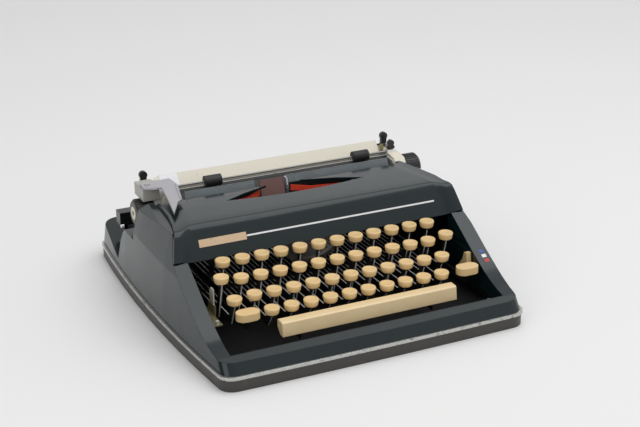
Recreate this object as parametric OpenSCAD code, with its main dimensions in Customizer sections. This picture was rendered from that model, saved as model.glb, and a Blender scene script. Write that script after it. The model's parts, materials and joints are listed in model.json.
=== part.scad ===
// Portable typewriter: case, keyboard, type basket, ribbon and carriage as separate pieces.
// Millimetres. X is to the right, Y to the back, Z up, and Z = 0 is the table under the tray.

/* [Case] */
// Width of the case at the middle of its sides
body_w = 316.8; // [310:1:326]
// Depth of the case from front edge to rear edge
body_d = 336.5; // [332:0.5:346]
// Radius that the sides are bowed to in plan
side_bow_r = 1560; // [1300:10:2400]
// Bow of the front and rear edges in plan
edge_bow = 2; // [0.5:0.5:4]
// Corner radius in plan
corner_r = 14; // [10:1:18]
// Height of the bottom tray
tray_h = 11; // [9.5:0.5:11.5]
// Wall and floor of the bottom tray
tray_wall = 2.5; // [2:0.1:3.5]
// Height of the bright edging on the tray
bead_h = 3; // [2:0.5:3.5]
// How far the edging stands out of the tray
bead_proud = 0.8; // [0.3:0.1:1.5]
// Wall of the body shell
shell_wall = 2; // [1.5:0.1:2.4]
// Lean of the side walls from the edging up to the crease
side_lean = 5.2; // [4:0.1:6]
// Height of the crease along the sides
crease_z = 65; // [62:1:68]
// Lean of the facet above the crease, in millimetres per millimetre of height
facet_lean = 0.27; // [0.2:0.01:0.32]
// Height of the rim in front of the keyboard
rim_z = 23.5; // [22:0.5:25]
// Height of the shoulders at their front corner
shoulder_front_z = 96.5; // [95:0.5:97.5]
// Height of the shoulders at their rear corner
shoulder_rear_z = 86.6; // [84:0.2:88]
// Depth position of the rear end of the shoulders
shoulder_rear_y = 52.5; // [50:0.5:54]
// Height of the low side walls that the carriage passes over
side_low_z = 58; // [54:0.5:58.5]
// Height of the rear wall
rear_z = 38; // [34:1:42]
// Width of the strip at each side of the keyboard well, at the widest place
well_side = 22.9; // [22:0.1:24]

/* [Ribbon cover] */
// Height of the crown of the cover behind its front ridge
crown_z = 99.6; // [98:0.1:100.2]
// Height of the rear edge of the cover
cover_rear_z = 94; // [92:0.5:95]
// Depth position of the rear edge of the cover
cover_rear_y = 43; // [41:0.5:46]
// How far the raised top stands in from the widest outline at its rear end
cover_side_in = 28.4; // [27.4:0.2:30.4]
// Wall of the cover
cover_wall = 2; // [1.2:0.1:2.4]
// Half width of the wing-shaped opening
wing_half = 72; // [64:1:78]
// Half width of the gap between the two fingers at the rear edge
wing_gap_half = 18.4; // [18:0.2:22]

/* [Keyboard] */
// Gap from the outermost round caps to the sides of the well
key_side_gap = 14.1; // [13.6:0.1:16]
// Diameter of a key cap
cap_d = 14.2; // [13:0.1:14.6]
// Height of a key cap
cap_h = 6.8; // [6:0.1:7.2]
// Distance from the front edge to the row behind the others
row_1_in = 110.75; // [109.75:0.25:111]
// Step from the first row to the second
row_step_1 = 19.6; // [19:0.1:20]
// Step from the second row to the third
row_step_2 = 18.2; // [17.8:0.1:18.8]
// Step from the third row to the fourth
row_step_3 = 16.3; // [16:0.1:17]
// Height of the tops of the first row
row_1_z = 72.3; // [70.5:0.1:72.6]
// Drop from one row to the next
row_drop = 9.53; // [9:0.01:9.8]
// Thickness of a key lever
lever_t = 1.2; // [0.8:0.1:1.5]
// Depth position of the shaft that the levers turn on
fulcrum_y = 62; // [60:0.5:63]
// Height of that shaft
fulcrum_z = 24; // [23:0.5:26]
// Diameter of that shaft
fulcrum_d = 4; // [3:0.5:5]
// Length of the space bar
space_len = 175; // [160:1:180]

/* [Carriage] */
// Place of the middle of the carriage in the resting position
carriage_x = 12.5; // [0:0.5:20]
// Depth position of the platen axis
platen_y = 76; // [75.5:0.1:77]
// Height of the platen axis
platen_z = 75; // [74.5:0.1:76]
// Diameter of the platen
platen_d = 29; // [27:0.2:29.4]
// Length of the platen
platen_len = 235; // [228:1:238]
// Diameter of the platen knobs
knob_d = 25.6; // [22:0.2:26.4]
// Length of the platen knobs
knob_len = 18; // [14:0.5:22]
// Diameter of the platen shaft
platen_shaft_d = 8; // [6:0.5:9]
// Thickness of the cream housings at the ends of the carriage
housing_t = 12; // [10:0.5:14]
// Height of the tip of the paper table
table_top_z = 98.8; // [97:0.2:100]
// Diameter of the rollers of the paper bail
bail_roller_d = 11; // [9:0.2:12]
// Underside of the carriage return lever
return_z = 101.5; // [101.5:0.1:103]
// Width of the rear carriage rail
rail_w = 8; // [6:0.5:9]

/* [Type and ribbon] */
// Place of the printing point across the machine
print_x = -8; // [-10:0.5:-4]
// Outer radius of the type segment
segment_r = 44; // [42:0.5:45]
// Number of type bars
typebar_count = 44; // [36:1:44]
// Radius of a ribbon spool
spool_r = 21; // [18:0.5:22]
// Width of the ribbon
ribbon_w = 13; // [11:0.5:13]

/* [Hidden] */
front_y = -body_d / 2;
rear_y = body_d / 2;
well_w = body_w - 2 * well_side;
cover_rear_half = body_w / 2 - cover_side_in;
pitches_across = 12;
key_pitch = (well_w - cap_d - 2 * key_side_gap) / pitches_across;
row_1_y = front_y + row_1_in;
side_mid_y = 10;
sheet_gap = 0.3;
seat_gap = 0.2;
shaft_gap = 0.1;
smooth = 40;
big = 400;
edge_z = tray_h + bead_h;
low_edge_in = 1.1;
fulcrum_hole_d = fulcrum_d + 2 * shaft_gap;
lever_h = 7;
quarter = key_pitch / 4;
platen_r = platen_d / 2;
knob_r = knob_d / 2;
rows = [
    [row_1_y, row_1_z],
    [row_1_y - row_step_1, row_1_z - row_drop],
    [row_1_y - row_step_1 - row_step_2, row_1_z - 2 * row_drop],
    [row_1_y - row_step_1 - row_step_2 - row_step_3, row_1_z - 3 * row_drop],
];
upper_count = 11;
lower_count = 10;

// A plate drawn in depth and height, with its thickness along X from x
module side_plate(x, t) {
    translate([x, 0, 0]) rotate([90, 0, 90]) linear_extrude(t) children();
}

// A round bar along X from x, with its axis at depth y and height z
module bar_x(x, y, z, len, d) {
    translate([x, y, z]) rotate([0, 90, 0]) cylinder(h = len, d = d, $fn = smooth);
}

// A box from its low corner to its high corner
module block(low, high) {
    translate(low) cube(high - low);
}

// A pair of copies mirrored across the middle of the machine
module both_sides() {
    children();
    mirror([1, 0, 0]) children();
}

// Two triangles of a surface, clockwise from outside
function two(a, b, c, d) = [[a, b, c], [a, c, d]];

// Points of a row of rings, one after the other
function flat(rings) = [for (ring = rings) each ring];

// A closed solid through rings of as many points, each ring flat and anticlockwise from above
module loft(rings) {
    n = len(rings[0]);
    top = (len(rings) - 1) * n;
    sides = [
        for (k = [0:len(rings) - 2], i = [0:n - 1])
            each two(k * n + i, (k + 1) * n + i, (k + 1) * n + (i + 1) % n, k * n + (i + 1) % n)
    ];
    polyhedron(
        flat(rings),
        concat([[for (i = [0:n - 1]) i]], sides, [[for (i = [n - 1:-1:0]) top + i]]),
        convexity = 4
    );
}

// A sheet between an outer and an inner grid: rows run to the back, columns to the right
module sheet(outer, inner) {
    r = len(outer) - 1;
    c = len(outer[0]) - 1;
    half = (r + 1) * (c + 1);
    polyhedron(
        concat(flat(outer), flat(inner)),
        concat(
            [
                for (i = [0:r - 1], j = [0:c - 1])
                    let (a = i * (c + 1) + j, b = a + c + 1) each two(a, b, b + 1, a + 1)
            ],
            [
                for (i = [0:r - 1], j = [0:c - 1])
                    let (a = half + i * (c + 1) + j, b = a + c + 1) each two(a, a + 1, b + 1, b)
            ],
            [for (j = [0:c - 1]) each two(j, j + 1, half + j + 1, half + j)],
            [
                for (j = [0:c - 1])
                    let (a = r * (c + 1) + j) each two(a + 1, a, half + a, half + a + 1)
            ],
            [
                for (i = [0:r - 1])
                    let (a = i * (c + 1), b = a + c + 1) each two(b, a, half + a, half + b)
            ],
            [
                for (i = [0:r - 1])
                    let (a = i * (c + 1) + c, b = a + c + 1) each two(a, b, half + b, half + a)
            ]
        ),
        convexity = 6
    );
}

// Half width of the plan at a depth, drawn in from the widest outline
function side_half(y, inset) = body_w / 2 - inset - pow(y - side_mid_y, 2) / (2 * side_bow_r);

// Bow of the front or rear edge at a distance x from the middle
function bow_at(x) = edge_bow * pow(2 * x / body_w, 2);

// Right half of the plan from front to back, with insets at the side, the front and the rear
function half_plan(inset, front_in, rear_in) =
    let (
        front = front_y + front_in,
        rear = rear_y - rear_in,
        cy_f = front + corner_r,
        cy_r = rear - corner_r,
        cx_f = side_half(cy_f, inset) - corner_r,
        cx_r = side_half(cy_r, inset) - corner_r
    )
    concat(
        [for (k = [0:2]) let (x = cx_f * k / 3) [x, front + bow_at(x)]],
        [
            for (a = [-90:18:0])
                [cx_f + corner_r * cos(a), cy_f + bow_at(cx_f) * -sin(a) + corner_r * sin(a)]
        ],
        [
            for (k = [1:7])
                let (y = cy_f + (cy_r - cy_f) * k / 8) [side_half(y, inset), y]
        ],
        [
            for (a = [0:18:90])
                [cx_r + corner_r * cos(a), cy_r - bow_at(cx_r) * sin(a) + corner_r * sin(a)]
        ],
        [for (k = [2:-1:0]) let (x = cx_r * k / 3) [x, rear - bow_at(x)]]
    );

// Whole plan, anticlockwise
function plan(inset, front_in = 0, rear_in = 0) =
    let (right = half_plan(inset, front_in, rear_in), n = len(right))
    concat(right, [for (i = [n - 2:-1:1]) [-right[i][0], right[i][1]]]);

// The same plan at a height
function ring(z, inset, front_in, rear_in) = [
    for (p = plan(inset, front_in, rear_in)) [p[0], p[1], z]
];

module base_tray() {
    color("dimgray") difference() {
        linear_extrude(tray_h) polygon(plan(0));
        translate([0, 0, tray_wall])
            linear_extrude(tray_h) polygon(plan(tray_wall, tray_wall, tray_wall));
    }
}

module base_bead() {
    color("silver") translate([0, 0, tray_h]) linear_extrude(bead_h) difference() {
        polygon(plan(-bead_proud, -bead_proud, -bead_proud));
        polygon(plan(2 * tray_wall, 2 * tray_wall, 2 * tray_wall));
    }
}

// Body shell
front_lean = 7;
rim_top_y = front_y + low_edge_in + front_lean;
well_front_y = rim_top_y + 12.5;
well_rear_y = row_1_y + 12.5;
face_foot_y = row_1_y + 5.6;
face_foot_z = row_1_z + 1.2;
face_top_y = face_foot_y + 12.9;
deck_low_y = 98;
deck_low_z = rim_z - 2.5;
ramp_top_y = rear_y - 3.25;
facet_top_z = shoulder_front_z + 8;
shoulder_rise = 5.5;

// Point of the hollow sweep of the side strips, from the rim up to the foot of the front face
function sweep(t, back, down) =
    let (s = 1 - t)
    [
        s * s * s * rim_top_y + 3 * s * s * t * (rim_top_y + 34)
            + 3 * s * t * t * (face_foot_y - 43) + t * t * t * face_foot_y + back,
        s * s * s * rim_z + 3 * s * s * t * (rim_z + 0.5)
            + 3 * s * t * t * (rim_z + 22.5) + t * t * t * face_foot_z - down
    ];

// Side view of the shell, drawn in by a wall; the front face stays back behind the ribbon cover
function shell_side(wall) = concat(
    [[front_y - 20, -big / 8], [front_y - 20, rim_z - wall]],
    [for (k = [0:9]) sweep(k / 9, wall * k / 9 + 3 * pow(k / 9, 4), wall)],
    [
        [face_top_y + 2 + wall, shoulder_front_z - 2.5 - wall],
        [face_top_y + 4 + wall, shoulder_front_z - 1.5 - wall],
        [shoulder_rear_y - wall, shoulder_rear_z + shoulder_rise - wall],
        [shoulder_rear_y - wall, side_low_z - wall],
        [platen_y + 4 - wall, side_low_z - wall],
        [platen_y + 10 - wall, side_low_z - 5 - wall],
        [deck_low_y - 6 - wall, deck_low_z + 22 - wall],
        [deck_low_y, deck_low_z - wall],
        [ramp_top_y, rear_z - wall],
        [rear_y + 20, rear_z - wall],
        [rear_y + 20, -big / 8],
    ]
);

// Section across the shoulders at a depth: they fall from the cover to the facets
function shoulder_line(x, y, wall) =
    shoulder_front_z - wall
    + (shoulder_rear_z - shoulder_front_z) * (y - face_top_y) / (shoulder_rear_y - face_top_y)
    + 0.45 * (body_w / 2 - 11.5 - x);

module shoulder_roof(wall) {
    y_1 = -big / 2;
    y_2 = big / 2;
    x = body_w / 2 + 20;
    low = -4 * big;
    loft([
        for (end = [y_2, y_1])
            [
                [-x, end, low],
                [x, end, low],
                [x, end, shoulder_line(x, end, wall)],
                [0, end, shoulder_line(0, end, wall)],
                [-x, end, shoulder_line(x, end, wall)],
            ]
    ]);
}

module shell_solid(wall) {
    foot = wall == 0 ? edge_z : edge_z - 1;
    intersection() {
        loft([
            for (
                s = [
                    [foot, low_edge_in, low_edge_in, 0.3],
                    [rim_z, low_edge_in + 1, low_edge_in + front_lean, 1.5],
                    [crease_z, low_edge_in + side_lean, low_edge_in + front_lean + 4, 6],
                    [
                        facet_top_z,
                        low_edge_in + side_lean + facet_lean * (facet_top_z - crease_z),
                        low_edge_in + front_lean + 12,
                        12,
                    ],
                ]
            )
                ring(s[0], s[1] + wall, s[2] + wall, s[3] + wall)
        ]);
        side_plate(-big / 2, big) polygon(shell_side(wall));
        shoulder_roof(wall);
    }
}

cover_seat_half = cover_rear_half + 3;
rear_plate_x = pitches_across / 2 * key_pitch + 13.2;
chassis_t = 2;
deck_open_half = rear_plate_x + chassis_t + 2.5;

// Plan of the raised top of the cover with a gap round it, open to the back
module cover_opening() {
    right = concat(
        [for (i = [4:len(cover_rows) - 1]) [cover_rows[i][4] + sheet_gap, cover_rows[i][2]]],
        [[cover_rear_half + sheet_gap, fulcrum_y]]
    );
    polygon(concat(right, [for (i = [len(right) - 1:-1:0]) [-right[i][0], right[i][1]]]));
}

module body_shell() {
    half = well_w / 2;
    foot_half = half + 7.5;
    lip = 2;
    color("darkslategray") union() {
        difference() {
            shell_solid(0);
            shell_solid(shell_wall);
            block([-half, well_front_y, 0], [half, well_rear_y, big]);
            block([-cover_seat_half, well_rear_y - 2, 0], [cover_seat_half, 0, big]);
            block([-foot_half, face_foot_y + 0.6, face_foot_z - 3.9], [foot_half, face_top_y + 4.5, big]);
            linear_extrude(big) cover_opening();
            block([-deck_open_half, fulcrum_y - 1, 0], [deck_open_half, rear_y - 18, big]);
        }
        intersection() {
            shell_solid(0);
            difference() {
                block([-half - lip, well_front_y - lip, edge_z + 1.5],
                    [half + lip, well_rear_y, face_foot_z - 6]);
                block([-half, well_front_y, 0], [half, well_rear_y + 1, big]);
            }
        }
    }
}

// Ribbon cover
face_set_back = 4.5;
cover_face_half = body_w / 2 - 9.8;
cover_corner_half = body_w / 2 - 15.9;
ridge_y = face_top_y + 5;
y_1_of_top = cover_depth(13 / 74);
y_2_of_top = cover_depth(34 / 74);
y_3_of_top = cover_depth(56 / 74);
skirt_drop = 5;

// Share of the way from the middle of the cover to its ends, on an S curve
function end_share(s) =
    let (t = min(1, max(0, (abs(s) - 0.87) / 0.1))) t * t * (3 - 2 * t);

// Columns of the cover from the left end to the right end
cover_cols = [
    -1, -0.985, -0.97, -0.945, -0.92, -0.895, -0.87, -0.6, -0.3, 0,
    0.3, 0.6, 0.87, 0.895, 0.92, 0.945, 0.97, 0.985, 1,
];

// Depth at a share of the raised top, from behind its ridge to its rear edge
function cover_depth(share) = ridge_y + 3 + (cover_rear_y - ridge_y - 3) * share;

// Rows of the cover: depth and height in the middle, depth and height at the ends, half width
cover_rows = [
    [face_foot_y + 3.4, face_foot_z - 3.5, face_foot_y, face_foot_z, cover_face_half],
    [face_foot_y + 5, face_foot_z, face_foot_y + 0.6, face_foot_z + 1, cover_face_half - 0.3],
    [face_foot_y + 13.5, crown_z - 7, face_top_y - 3, shoulder_front_z - 5, cover_corner_half + 1.6],
    [ridge_y, crown_z - 1, face_top_y, shoulder_front_z, cover_corner_half],
    [ridge_y + 3, crown_z, face_top_y + 4, shoulder_front_z + 1, cover_corner_half - 1],
    [y_1_of_top, crown_z, y_1_of_top, shoulder_front_z + 1.4, cover_rear_half + 7],
    [y_2_of_top, crown_z - 0.4, y_2_of_top, shoulder_front_z + 1, cover_rear_half + 3],
    [y_3_of_top, crown_z - 2.1, y_3_of_top, shoulder_front_z - 0.3, cover_rear_half + 1],
    [cover_rear_y, cover_rear_z, cover_rear_y, cover_rear_z, cover_rear_half],
];

// Grid of the cover, moved back on its face and down on its top by a wall
function cover_grid(back, down) = [
    for (i = [0:len(cover_rows) - 1])
        let (row = cover_rows[i], face = i < 3 ? 1 : i == 3 ? 0.7 : 0, top = i < 2 ? 0 : i == 2 ? 0.4 : 1)
            [
                for (s = cover_cols)
                    let (w = end_share(s), m = 1 - w)
                        [
                            s * row[4],
                            m * row[0] + w * row[2] + back * face,
                            m * row[1] + w * row[3] - down * top
                        ]
            ]
];

wing_front_y = 3;
wing_tip_y = 11;
module wing() {
    bow = wing_tip_y - wing_front_y;
    polygon(concat(
        [
            for (k = [-6:6])
                let (x = wing_half * k / 6) [x, wing_front_y + bow * pow(x / wing_half, 2)]
        ],
        [
            [wing_gap_half, cover_rear_y - 1],
            [wing_gap_half, cover_rear_y + 5],
            [-wing_gap_half, cover_rear_y + 5],
            [-wing_gap_half, cover_rear_y - 1],
        ]
    ));
}

module ribbon_cover() {
    skirt_t = 1.6;
    color("slategray") difference() {
        union() {
            sheet(cover_grid(0, 0), cover_grid(cover_wall, cover_wall));
            both_sides() side_skirt(skirt_t);
        }
        translate([0, 0, cover_rear_z - 20]) linear_extrude(big) wing();
    }
}

// Step at the side of the raised top, down to the shoulder
module side_skirt(t) {
    first = 4;
    last = len(cover_rows) - 1;
    points = [
        for (i = [first:last])
            let (row = cover_rows[i])
                [row[4], row[2], row[3] - 0.2, skirt_drop * (i - first) / (last - first)]
    ];
    sheet(
        [for (p = points) [[p[0] - t, p[1], p[2]], [p[0], p[1], p[2]]]],
        [for (p = points) [[p[0] - t, p[1], p[2] - cover_wall - p[3]], [p[0], p[1], p[2] - cover_wall - p[3]]]]
    );
}

// White stripe and bare name plate on the front face
stripe_z = 84;
stripe_h = 2;
plate_h = 7.5;
stripe_right = cover_corner_half - 21.5;
plate_left = -stripe_right;
stripe_left = plate_left + 46;
face_slope = (face_foot_y + 13.5 - (face_foot_y + 5)) / (crown_z - 7 - face_foot_z);

// Front face at the middle of its width, as a depth for a height
function face_y(z) = face_foot_y + 5 + face_slope * (z - face_foot_z);

module face_strip(x_1, x_2, z_mid, h, t) {
    low = z_mid - h / 2;
    high = z_mid + h / 2;
    side_plate(x_1, x_2 - x_1) polygon([
        [face_y(low), low],
        [face_y(high), high],
        [face_y(high) - t, high],
        [face_y(low) - t, low],
    ]);
}

module cover_trim() {
    color("white") face_strip(stripe_left + 0.5, stripe_right, stripe_z, stripe_h, 0.4);
    color("tan") face_strip(plate_left, stripe_left, stripe_z + 0.2, plate_h, 0.7);
}

// Chassis
chassis_z = 8;
front_plate_x = well_w / 2 + 3;
plate_top_z = side_low_z - 2;
frame_front_y = well_front_y + 5;
step_y = 44;
beam_low_z = 30;
beam_top_z = 36;
rail_y = 99;
rail_2_y = rail_y + rail_w + 6;
rail_2_w = 4;
rail_top_z = platen_z - 9;
rail_len = 2 * (rear_plate_x - 9.5);
tail_box_y = rail_2_y + rail_2_w + 6;
tail_box_z = 44;
spool_y = 2;
segment_y = 18;
segment_t = 8;
segment_z = 83;
guide_y = 46.4;
guide_t = 1.6;
guide_foot_y = guide_y + guide_t + sheet_gap;
flange_l = 20;
bush_d = 13;
screw_d = 3.4;
screw_head_d = 7;

// Middle of the gap between two lever planes nearest to a place across the machine
function between_levers(x) = (floor(x / quarter) + 0.5) * quarter;

spool_x_left = between_levers(print_x - 86);
spool_x_right = between_levers(print_x + 86);
segment_guide_left = between_levers(print_x - segment_r - 3);
segment_guide_right = between_levers(print_x + segment_r + 3);
ribbon_post_x = between_levers(print_x);
post_t = 2;
bush_places = [
    [front_plate_x - screw_head_d / 2 - 1, frame_front_y + 14],
    [rear_plate_x - 6, 120],
];

// Crossbar between the side plates at the foot of the chassis
module foot_bar(half, y_1, y_2) {
    block([-half, y_1, chassis_z], [half, y_2, chassis_z + 4]);
}

module chassis_side() {
    side_plate(front_plate_x, chassis_t) polygon([
        [frame_front_y, chassis_z],
        [step_y + 4, chassis_z],
        [step_y + 4, plate_top_z],
        [row_1_y - 2, plate_top_z - 4],
        [row_1_y - row_step_1 - row_step_2, plate_top_z - 26],
        [frame_front_y + 14, chassis_z + 10],
        [frame_front_y, chassis_z + 6],
    ]);
    side_plate(rear_plate_x, chassis_t) difference() {
        polygon([
            [step_y, chassis_z],
            [rear_y - 28, chassis_z],
            [rear_y - 28, tail_box_z - seat_gap],
            [tail_box_y - 1, tail_box_z - seat_gap],
            [tail_box_y - 1, plate_top_z],
            [step_y, plate_top_z],
        ]);
        translate([fulcrum_y, fulcrum_z]) circle(d = fulcrum_hole_d, $fn = smooth);
    }
    block([rear_plate_x, step_y, chassis_z], [front_plate_x + chassis_t, step_y + 2, plate_top_z]);
    front = bush_places[0];
    rear = bush_places[1];
    block([front[0] - 7, front[1] - flange_l / 2, chassis_z],
        [front_plate_x + 1, front[1] + flange_l / 2, chassis_z + chassis_t]);
    block([rear[0] - 8, rear[1] - flange_l / 2, chassis_z],
        [rear_plate_x + 1, rear[1] + flange_l / 2, chassis_z + chassis_t]);
}

module spool_post(x) {
    block([x - post_t / 2, spool_y - 5, chassis_z], [x + post_t / 2, spool_y + 5, 62]);
    block([x - 7, spool_y - 7, 61], [x + 7, spool_y + 7, 66]);
    translate([x, spool_y, 65]) cylinder(h = 20, d = 6, $fn = smooth);
}

module segment_guide(x) {
    block([x - post_t / 2, segment_y - 2, chassis_z], [x + post_t / 2, segment_y + segment_t + 2, segment_z]);
}

module chassis_frame() {
    color("gray") difference() {
        union() {
            both_sides() chassis_side();
            foot_bar(front_plate_x + 1, frame_front_y, frame_front_y + 6);
            foot_bar(front_plate_x + 1, spool_y - 5, spool_y + 5);
            foot_bar(front_plate_x + 1, segment_y - 2, segment_y + segment_t + 2);
            foot_bar(rear_plate_x + 1, guide_foot_y, guide_foot_y + 8);
            block([-rear_plate_x - 1, rail_y - 3, beam_low_z],
                [rear_plate_x + 1, rail_2_y + rail_2_w + 3, beam_top_z]);
            spool_post(spool_x_left);
            spool_post(spool_x_right);
            segment_guide(segment_guide_left);
            segment_guide(segment_guide_right);
            block([ribbon_post_x - post_t / 2, guide_foot_y, chassis_z],
                [ribbon_post_x + post_t / 2, guide_foot_y + 8, 60]);
        }
        both_sides() for (p = bush_places)
            translate([p[0], p[1], 0]) cylinder(h = chassis_z + 5, d = screw_d + 0.4, $fn = smooth);
    }
}

module tray_bushes() {
    color("black") both_sides() for (p = bush_places)
        translate([p[0], p[1], tray_wall]) difference() {
            cylinder(h = chassis_z - tray_wall, d = bush_d, $fn = smooth);
            translate([0, 0, -1]) cylinder(h = chassis_z, d = screw_d + 0.4, $fn = smooth);
        }
}

module chassis_screws() {
    color("silver") both_sides() for (p = bush_places)
        translate([p[0], p[1], 0]) {
            translate([0, 0, tray_wall + seat_gap])
                cylinder(h = chassis_z + chassis_t - tray_wall, d = screw_d, $fn = smooth);
            translate([0, 0, chassis_z + chassis_t]) difference() {
                cylinder(h = 2.6, d = screw_head_d, $fn = smooth);
                block([-screw_head_d, -0.5, 1.6], [screw_head_d, 0.5, 3]);
            }
        }
}

comb_y = -31;
comb_tooth = 1.9;
comb_top_z = fulcrum_z + lever_h + 1;
space_x = 7.5;
space_arm_planes = [-12.5, 15.5];
shift_arm_planes = [-21.5, 25.5];

module key_comb() {
    half = front_plate_x - seat_gap;
    color("darkgray") union() {
        block([-half, comb_y, chassis_z + 0.3], [half, comb_y + 3, chassis_z + 3.6]);
        for (n = [-24.5:24.5])
            if (n != space_arm_planes[0] && n != space_arm_planes[1] && n != shift_arm_planes[0])
                block([n * quarter - comb_tooth / 2, comb_y, chassis_z + 3],
                    [n * quarter + comb_tooth / 2, comb_y + 3, comb_top_z]);
    }
}

module lever_shaft() {
    half = rear_plate_x + chassis_t + 1;
    color("silver") bar_x(-half, fulcrum_y, fulcrum_z, 2 * half, fulcrum_d);
}

module carriage_rail() {
    half = rail_len / 2;
    box_half = rear_plate_x + 14.5;
    color("dimgray") {
        block([-half, rail_y, beam_top_z], [half, rail_y + rail_w, rail_top_z]);
        block([-half, rail_2_y, beam_top_z], [half, rail_2_y + rail_2_w, rail_top_z]);
        block([-box_half, tail_box_y, tail_box_z], [box_half, tail_box_y + 12.5, side_low_z - 0.5]);
    }
}

module bell() {
    bell_x = rear_plate_x - 18;
    bell_y = 84;
    bell_r = 11;
    foot_z = 12;
    color("goldenrod") union() {
        block([bell_x - 4, bell_y - 4, foot_z], [rear_plate_x - seat_gap, bell_y + 4, foot_z + 2]);
        translate([bell_x, bell_y, foot_z + 1]) cylinder(h = bell_r + 3.5, d = 4, $fn = smooth);
        translate([bell_x, bell_y, foot_z + 5]) difference() {
            sphere(r = bell_r, $fn = smooth);
            sphere(r = bell_r - 1.4, $fn = smooth);
            translate([0, 0, -bell_r]) cylinder(h = bell_r, r = bell_r + 1, $fn = smooth);
        }
    }
}

// Keyboard
foot_run = 11.5;
cap_tilt_in = 0.9;

// Place across the machine of a column of keys
function column_x(col) = (col - 5.5) * key_pitch;

// Cap with a hollow top, its underside at z = 0
module cap_shape() {
    r = cap_d / 2;
    rotate_extrude($fn = smooth) polygon([
        [0, 0],
        [r - cap_tilt_in - 1, 0],
        [r - cap_tilt_in, 0.8],
        [r, cap_h - 1.2],
        [r - 0.4, cap_h - 0.3],
        [r - 1.2, cap_h],
        [r - 3.2, cap_h - 0.6],
        [0, cap_h - 1.1],
    ]);
}

// Lever from its eye on the shaft to the underside of a cap
module lever_shape(y, z_under, tip = 2.2, run = foot_run, drop = 0) {
    foot_y = y + run;
    foot_z = fulcrum_z + 1.5 - drop;
    h = lever_h / 2;
    difference() {
        union() {
            translate([fulcrum_y, fulcrum_z]) circle(d = fulcrum_d + 4.4, $fn = smooth);
            polygon([
                [fulcrum_y, fulcrum_z - h],
                [foot_y - h, foot_z - h],
                [y - tip, z_under],
                [y + tip, z_under],
                [foot_y + 2, foot_z + h],
                [fulcrum_y, fulcrum_z + h],
            ]);
        }
        translate([fulcrum_y, fulcrum_z]) circle(d = fulcrum_hole_d, $fn = smooth);
    }
}

// One key: its cap and its lever, raised above its row and set back from it
module key(row, col, raised = 0) {
    x = column_x(col);
    y = rows[row][0];
    under = rows[row][1] - cap_h + raised;
    color("burlywood") translate([x, y, under]) cap_shape();
    color("silver") side_plate(x - lever_t / 2, lever_t) lever_shape(y, under - seat_gap);
}

module keys_upper(i) {
    key(0, i - 1);
    key(1, i - 0.5);
    if (i == upper_count) key(0, upper_count);
}

module keys_lower(i) {
    key(2, i - 0.25);
    key(3, i + 0.25);
    if (i == lower_count) key(2, lower_count + 0.75);
}

extra_raise = 3;

module margin_release_key() {
    key(1, -0.5, extra_raise);
}

module backspace_key() {
    key(1, 11.5, extra_raise);
}

module shift_lock() {
    key(2, -0.25, -1.7);
}

// Oval cap of a shift key, its underside at z = 0
module oval_cap(len) {
    r = cap_d / 2;
    half = len / 2 - r;
    for (x = [-half, half]) translate([x, 0, 0]) cylinder(h = cap_h, r = r, $fn = smooth);
    block([-half, -r, 0], [half, r, cap_h]);
}

shift_len = 22;
shift_cols = [0.05, 11.7];
shift_rod_y = fulcrum_y + 8;
shift_rod_z = fulcrum_z - 4;
shift_rod_d = 4;

module shift_keys() {
    y = rows[3][0];
    under = rows[3][1] - cap_h;
    for (k = [0, 1]) {
        x = shift_arm_planes[k] * quarter;
        color("burlywood") translate([column_x(shift_cols[k]), y, under]) oval_cap(shift_len);
        color("silver") side_plate(x - lever_t / 2, lever_t) {
            lever_shape(y, under - seat_gap);
            difference() {
                polygon([
                    [fulcrum_y, fulcrum_z - 4],
                    [fulcrum_y, fulcrum_z + 4],
                    [shift_rod_y + 3, shift_rod_z + 2],
                    [shift_rod_y + 3, shift_rod_z - 3],
                    [shift_rod_y - 2, shift_rod_z - 3],
                ]);
                translate([fulcrum_y, fulcrum_z]) circle(d = fulcrum_hole_d, $fn = smooth);
            }
        }
    }
    rod_from = shift_arm_planes[0] * quarter + lever_t / 2 + seat_gap;
    rod_to = shift_arm_planes[1] * quarter - lever_t / 2 - seat_gap;
    color("silver") bar_x(rod_from, shift_rod_y, shift_rod_z, rod_to - rod_from, shift_rod_d);
}

space_front_y = rows[3][0] - 21.4;
space_depth = 12;
space_top_z = rows[3][1] - 7.7;
space_h = 13;
space_foot_run = 1.5;
space_foot_drop = 9;

module space_bar() {
    back = space_front_y + space_depth;
    low = space_top_z - space_h;
    color("burlywood") side_plate(space_x - space_len / 2, space_len) polygon([
        [space_front_y, low],
        [space_front_y + 1.7, space_top_z - 1],
        [space_front_y + 3.2, space_top_z],
        [back - 0.8, space_top_z],
        [back, space_top_z - 1],
        [back, low + 6],
        [back - 6, low],
    ]);
    for (n = space_arm_planes) color("silver")
        side_plate(n * quarter - lever_t / 2, lever_t)
            lever_shape(back - 1.7, low + 3.1 - seat_gap, 1.2, space_foot_run, space_foot_drop);
}

selector_y = row_1_y - 22.5;
selector_z = 27;
selector_t = 5;

module ribbon_selector() {
    x = well_w / 2 - 1 - selector_t;
    color("burlywood") union() {
        side_plate(x, selector_t) polygon([
            [selector_y + 3, selector_z - 3],
            [selector_y + 3, selector_z + 2],
            [selector_y - 4, selector_z + 11],
            [selector_y - 7, selector_z + 19],
            [selector_y - 11, selector_z + 19.6],
            [selector_y - 13, selector_z + 6],
            [selector_y - 4, selector_z - 3],
        ]);
        bar_x(x + selector_t - 0.5, selector_y, selector_z, 1.5 - seat_gap, 4);
    }
}

// Type basket
segment_bore_r = segment_r - 14;
typebar_r = segment_r - 6;
typebar_len = segment_y - face_top_y;
ear_gap = 0.4;

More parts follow.
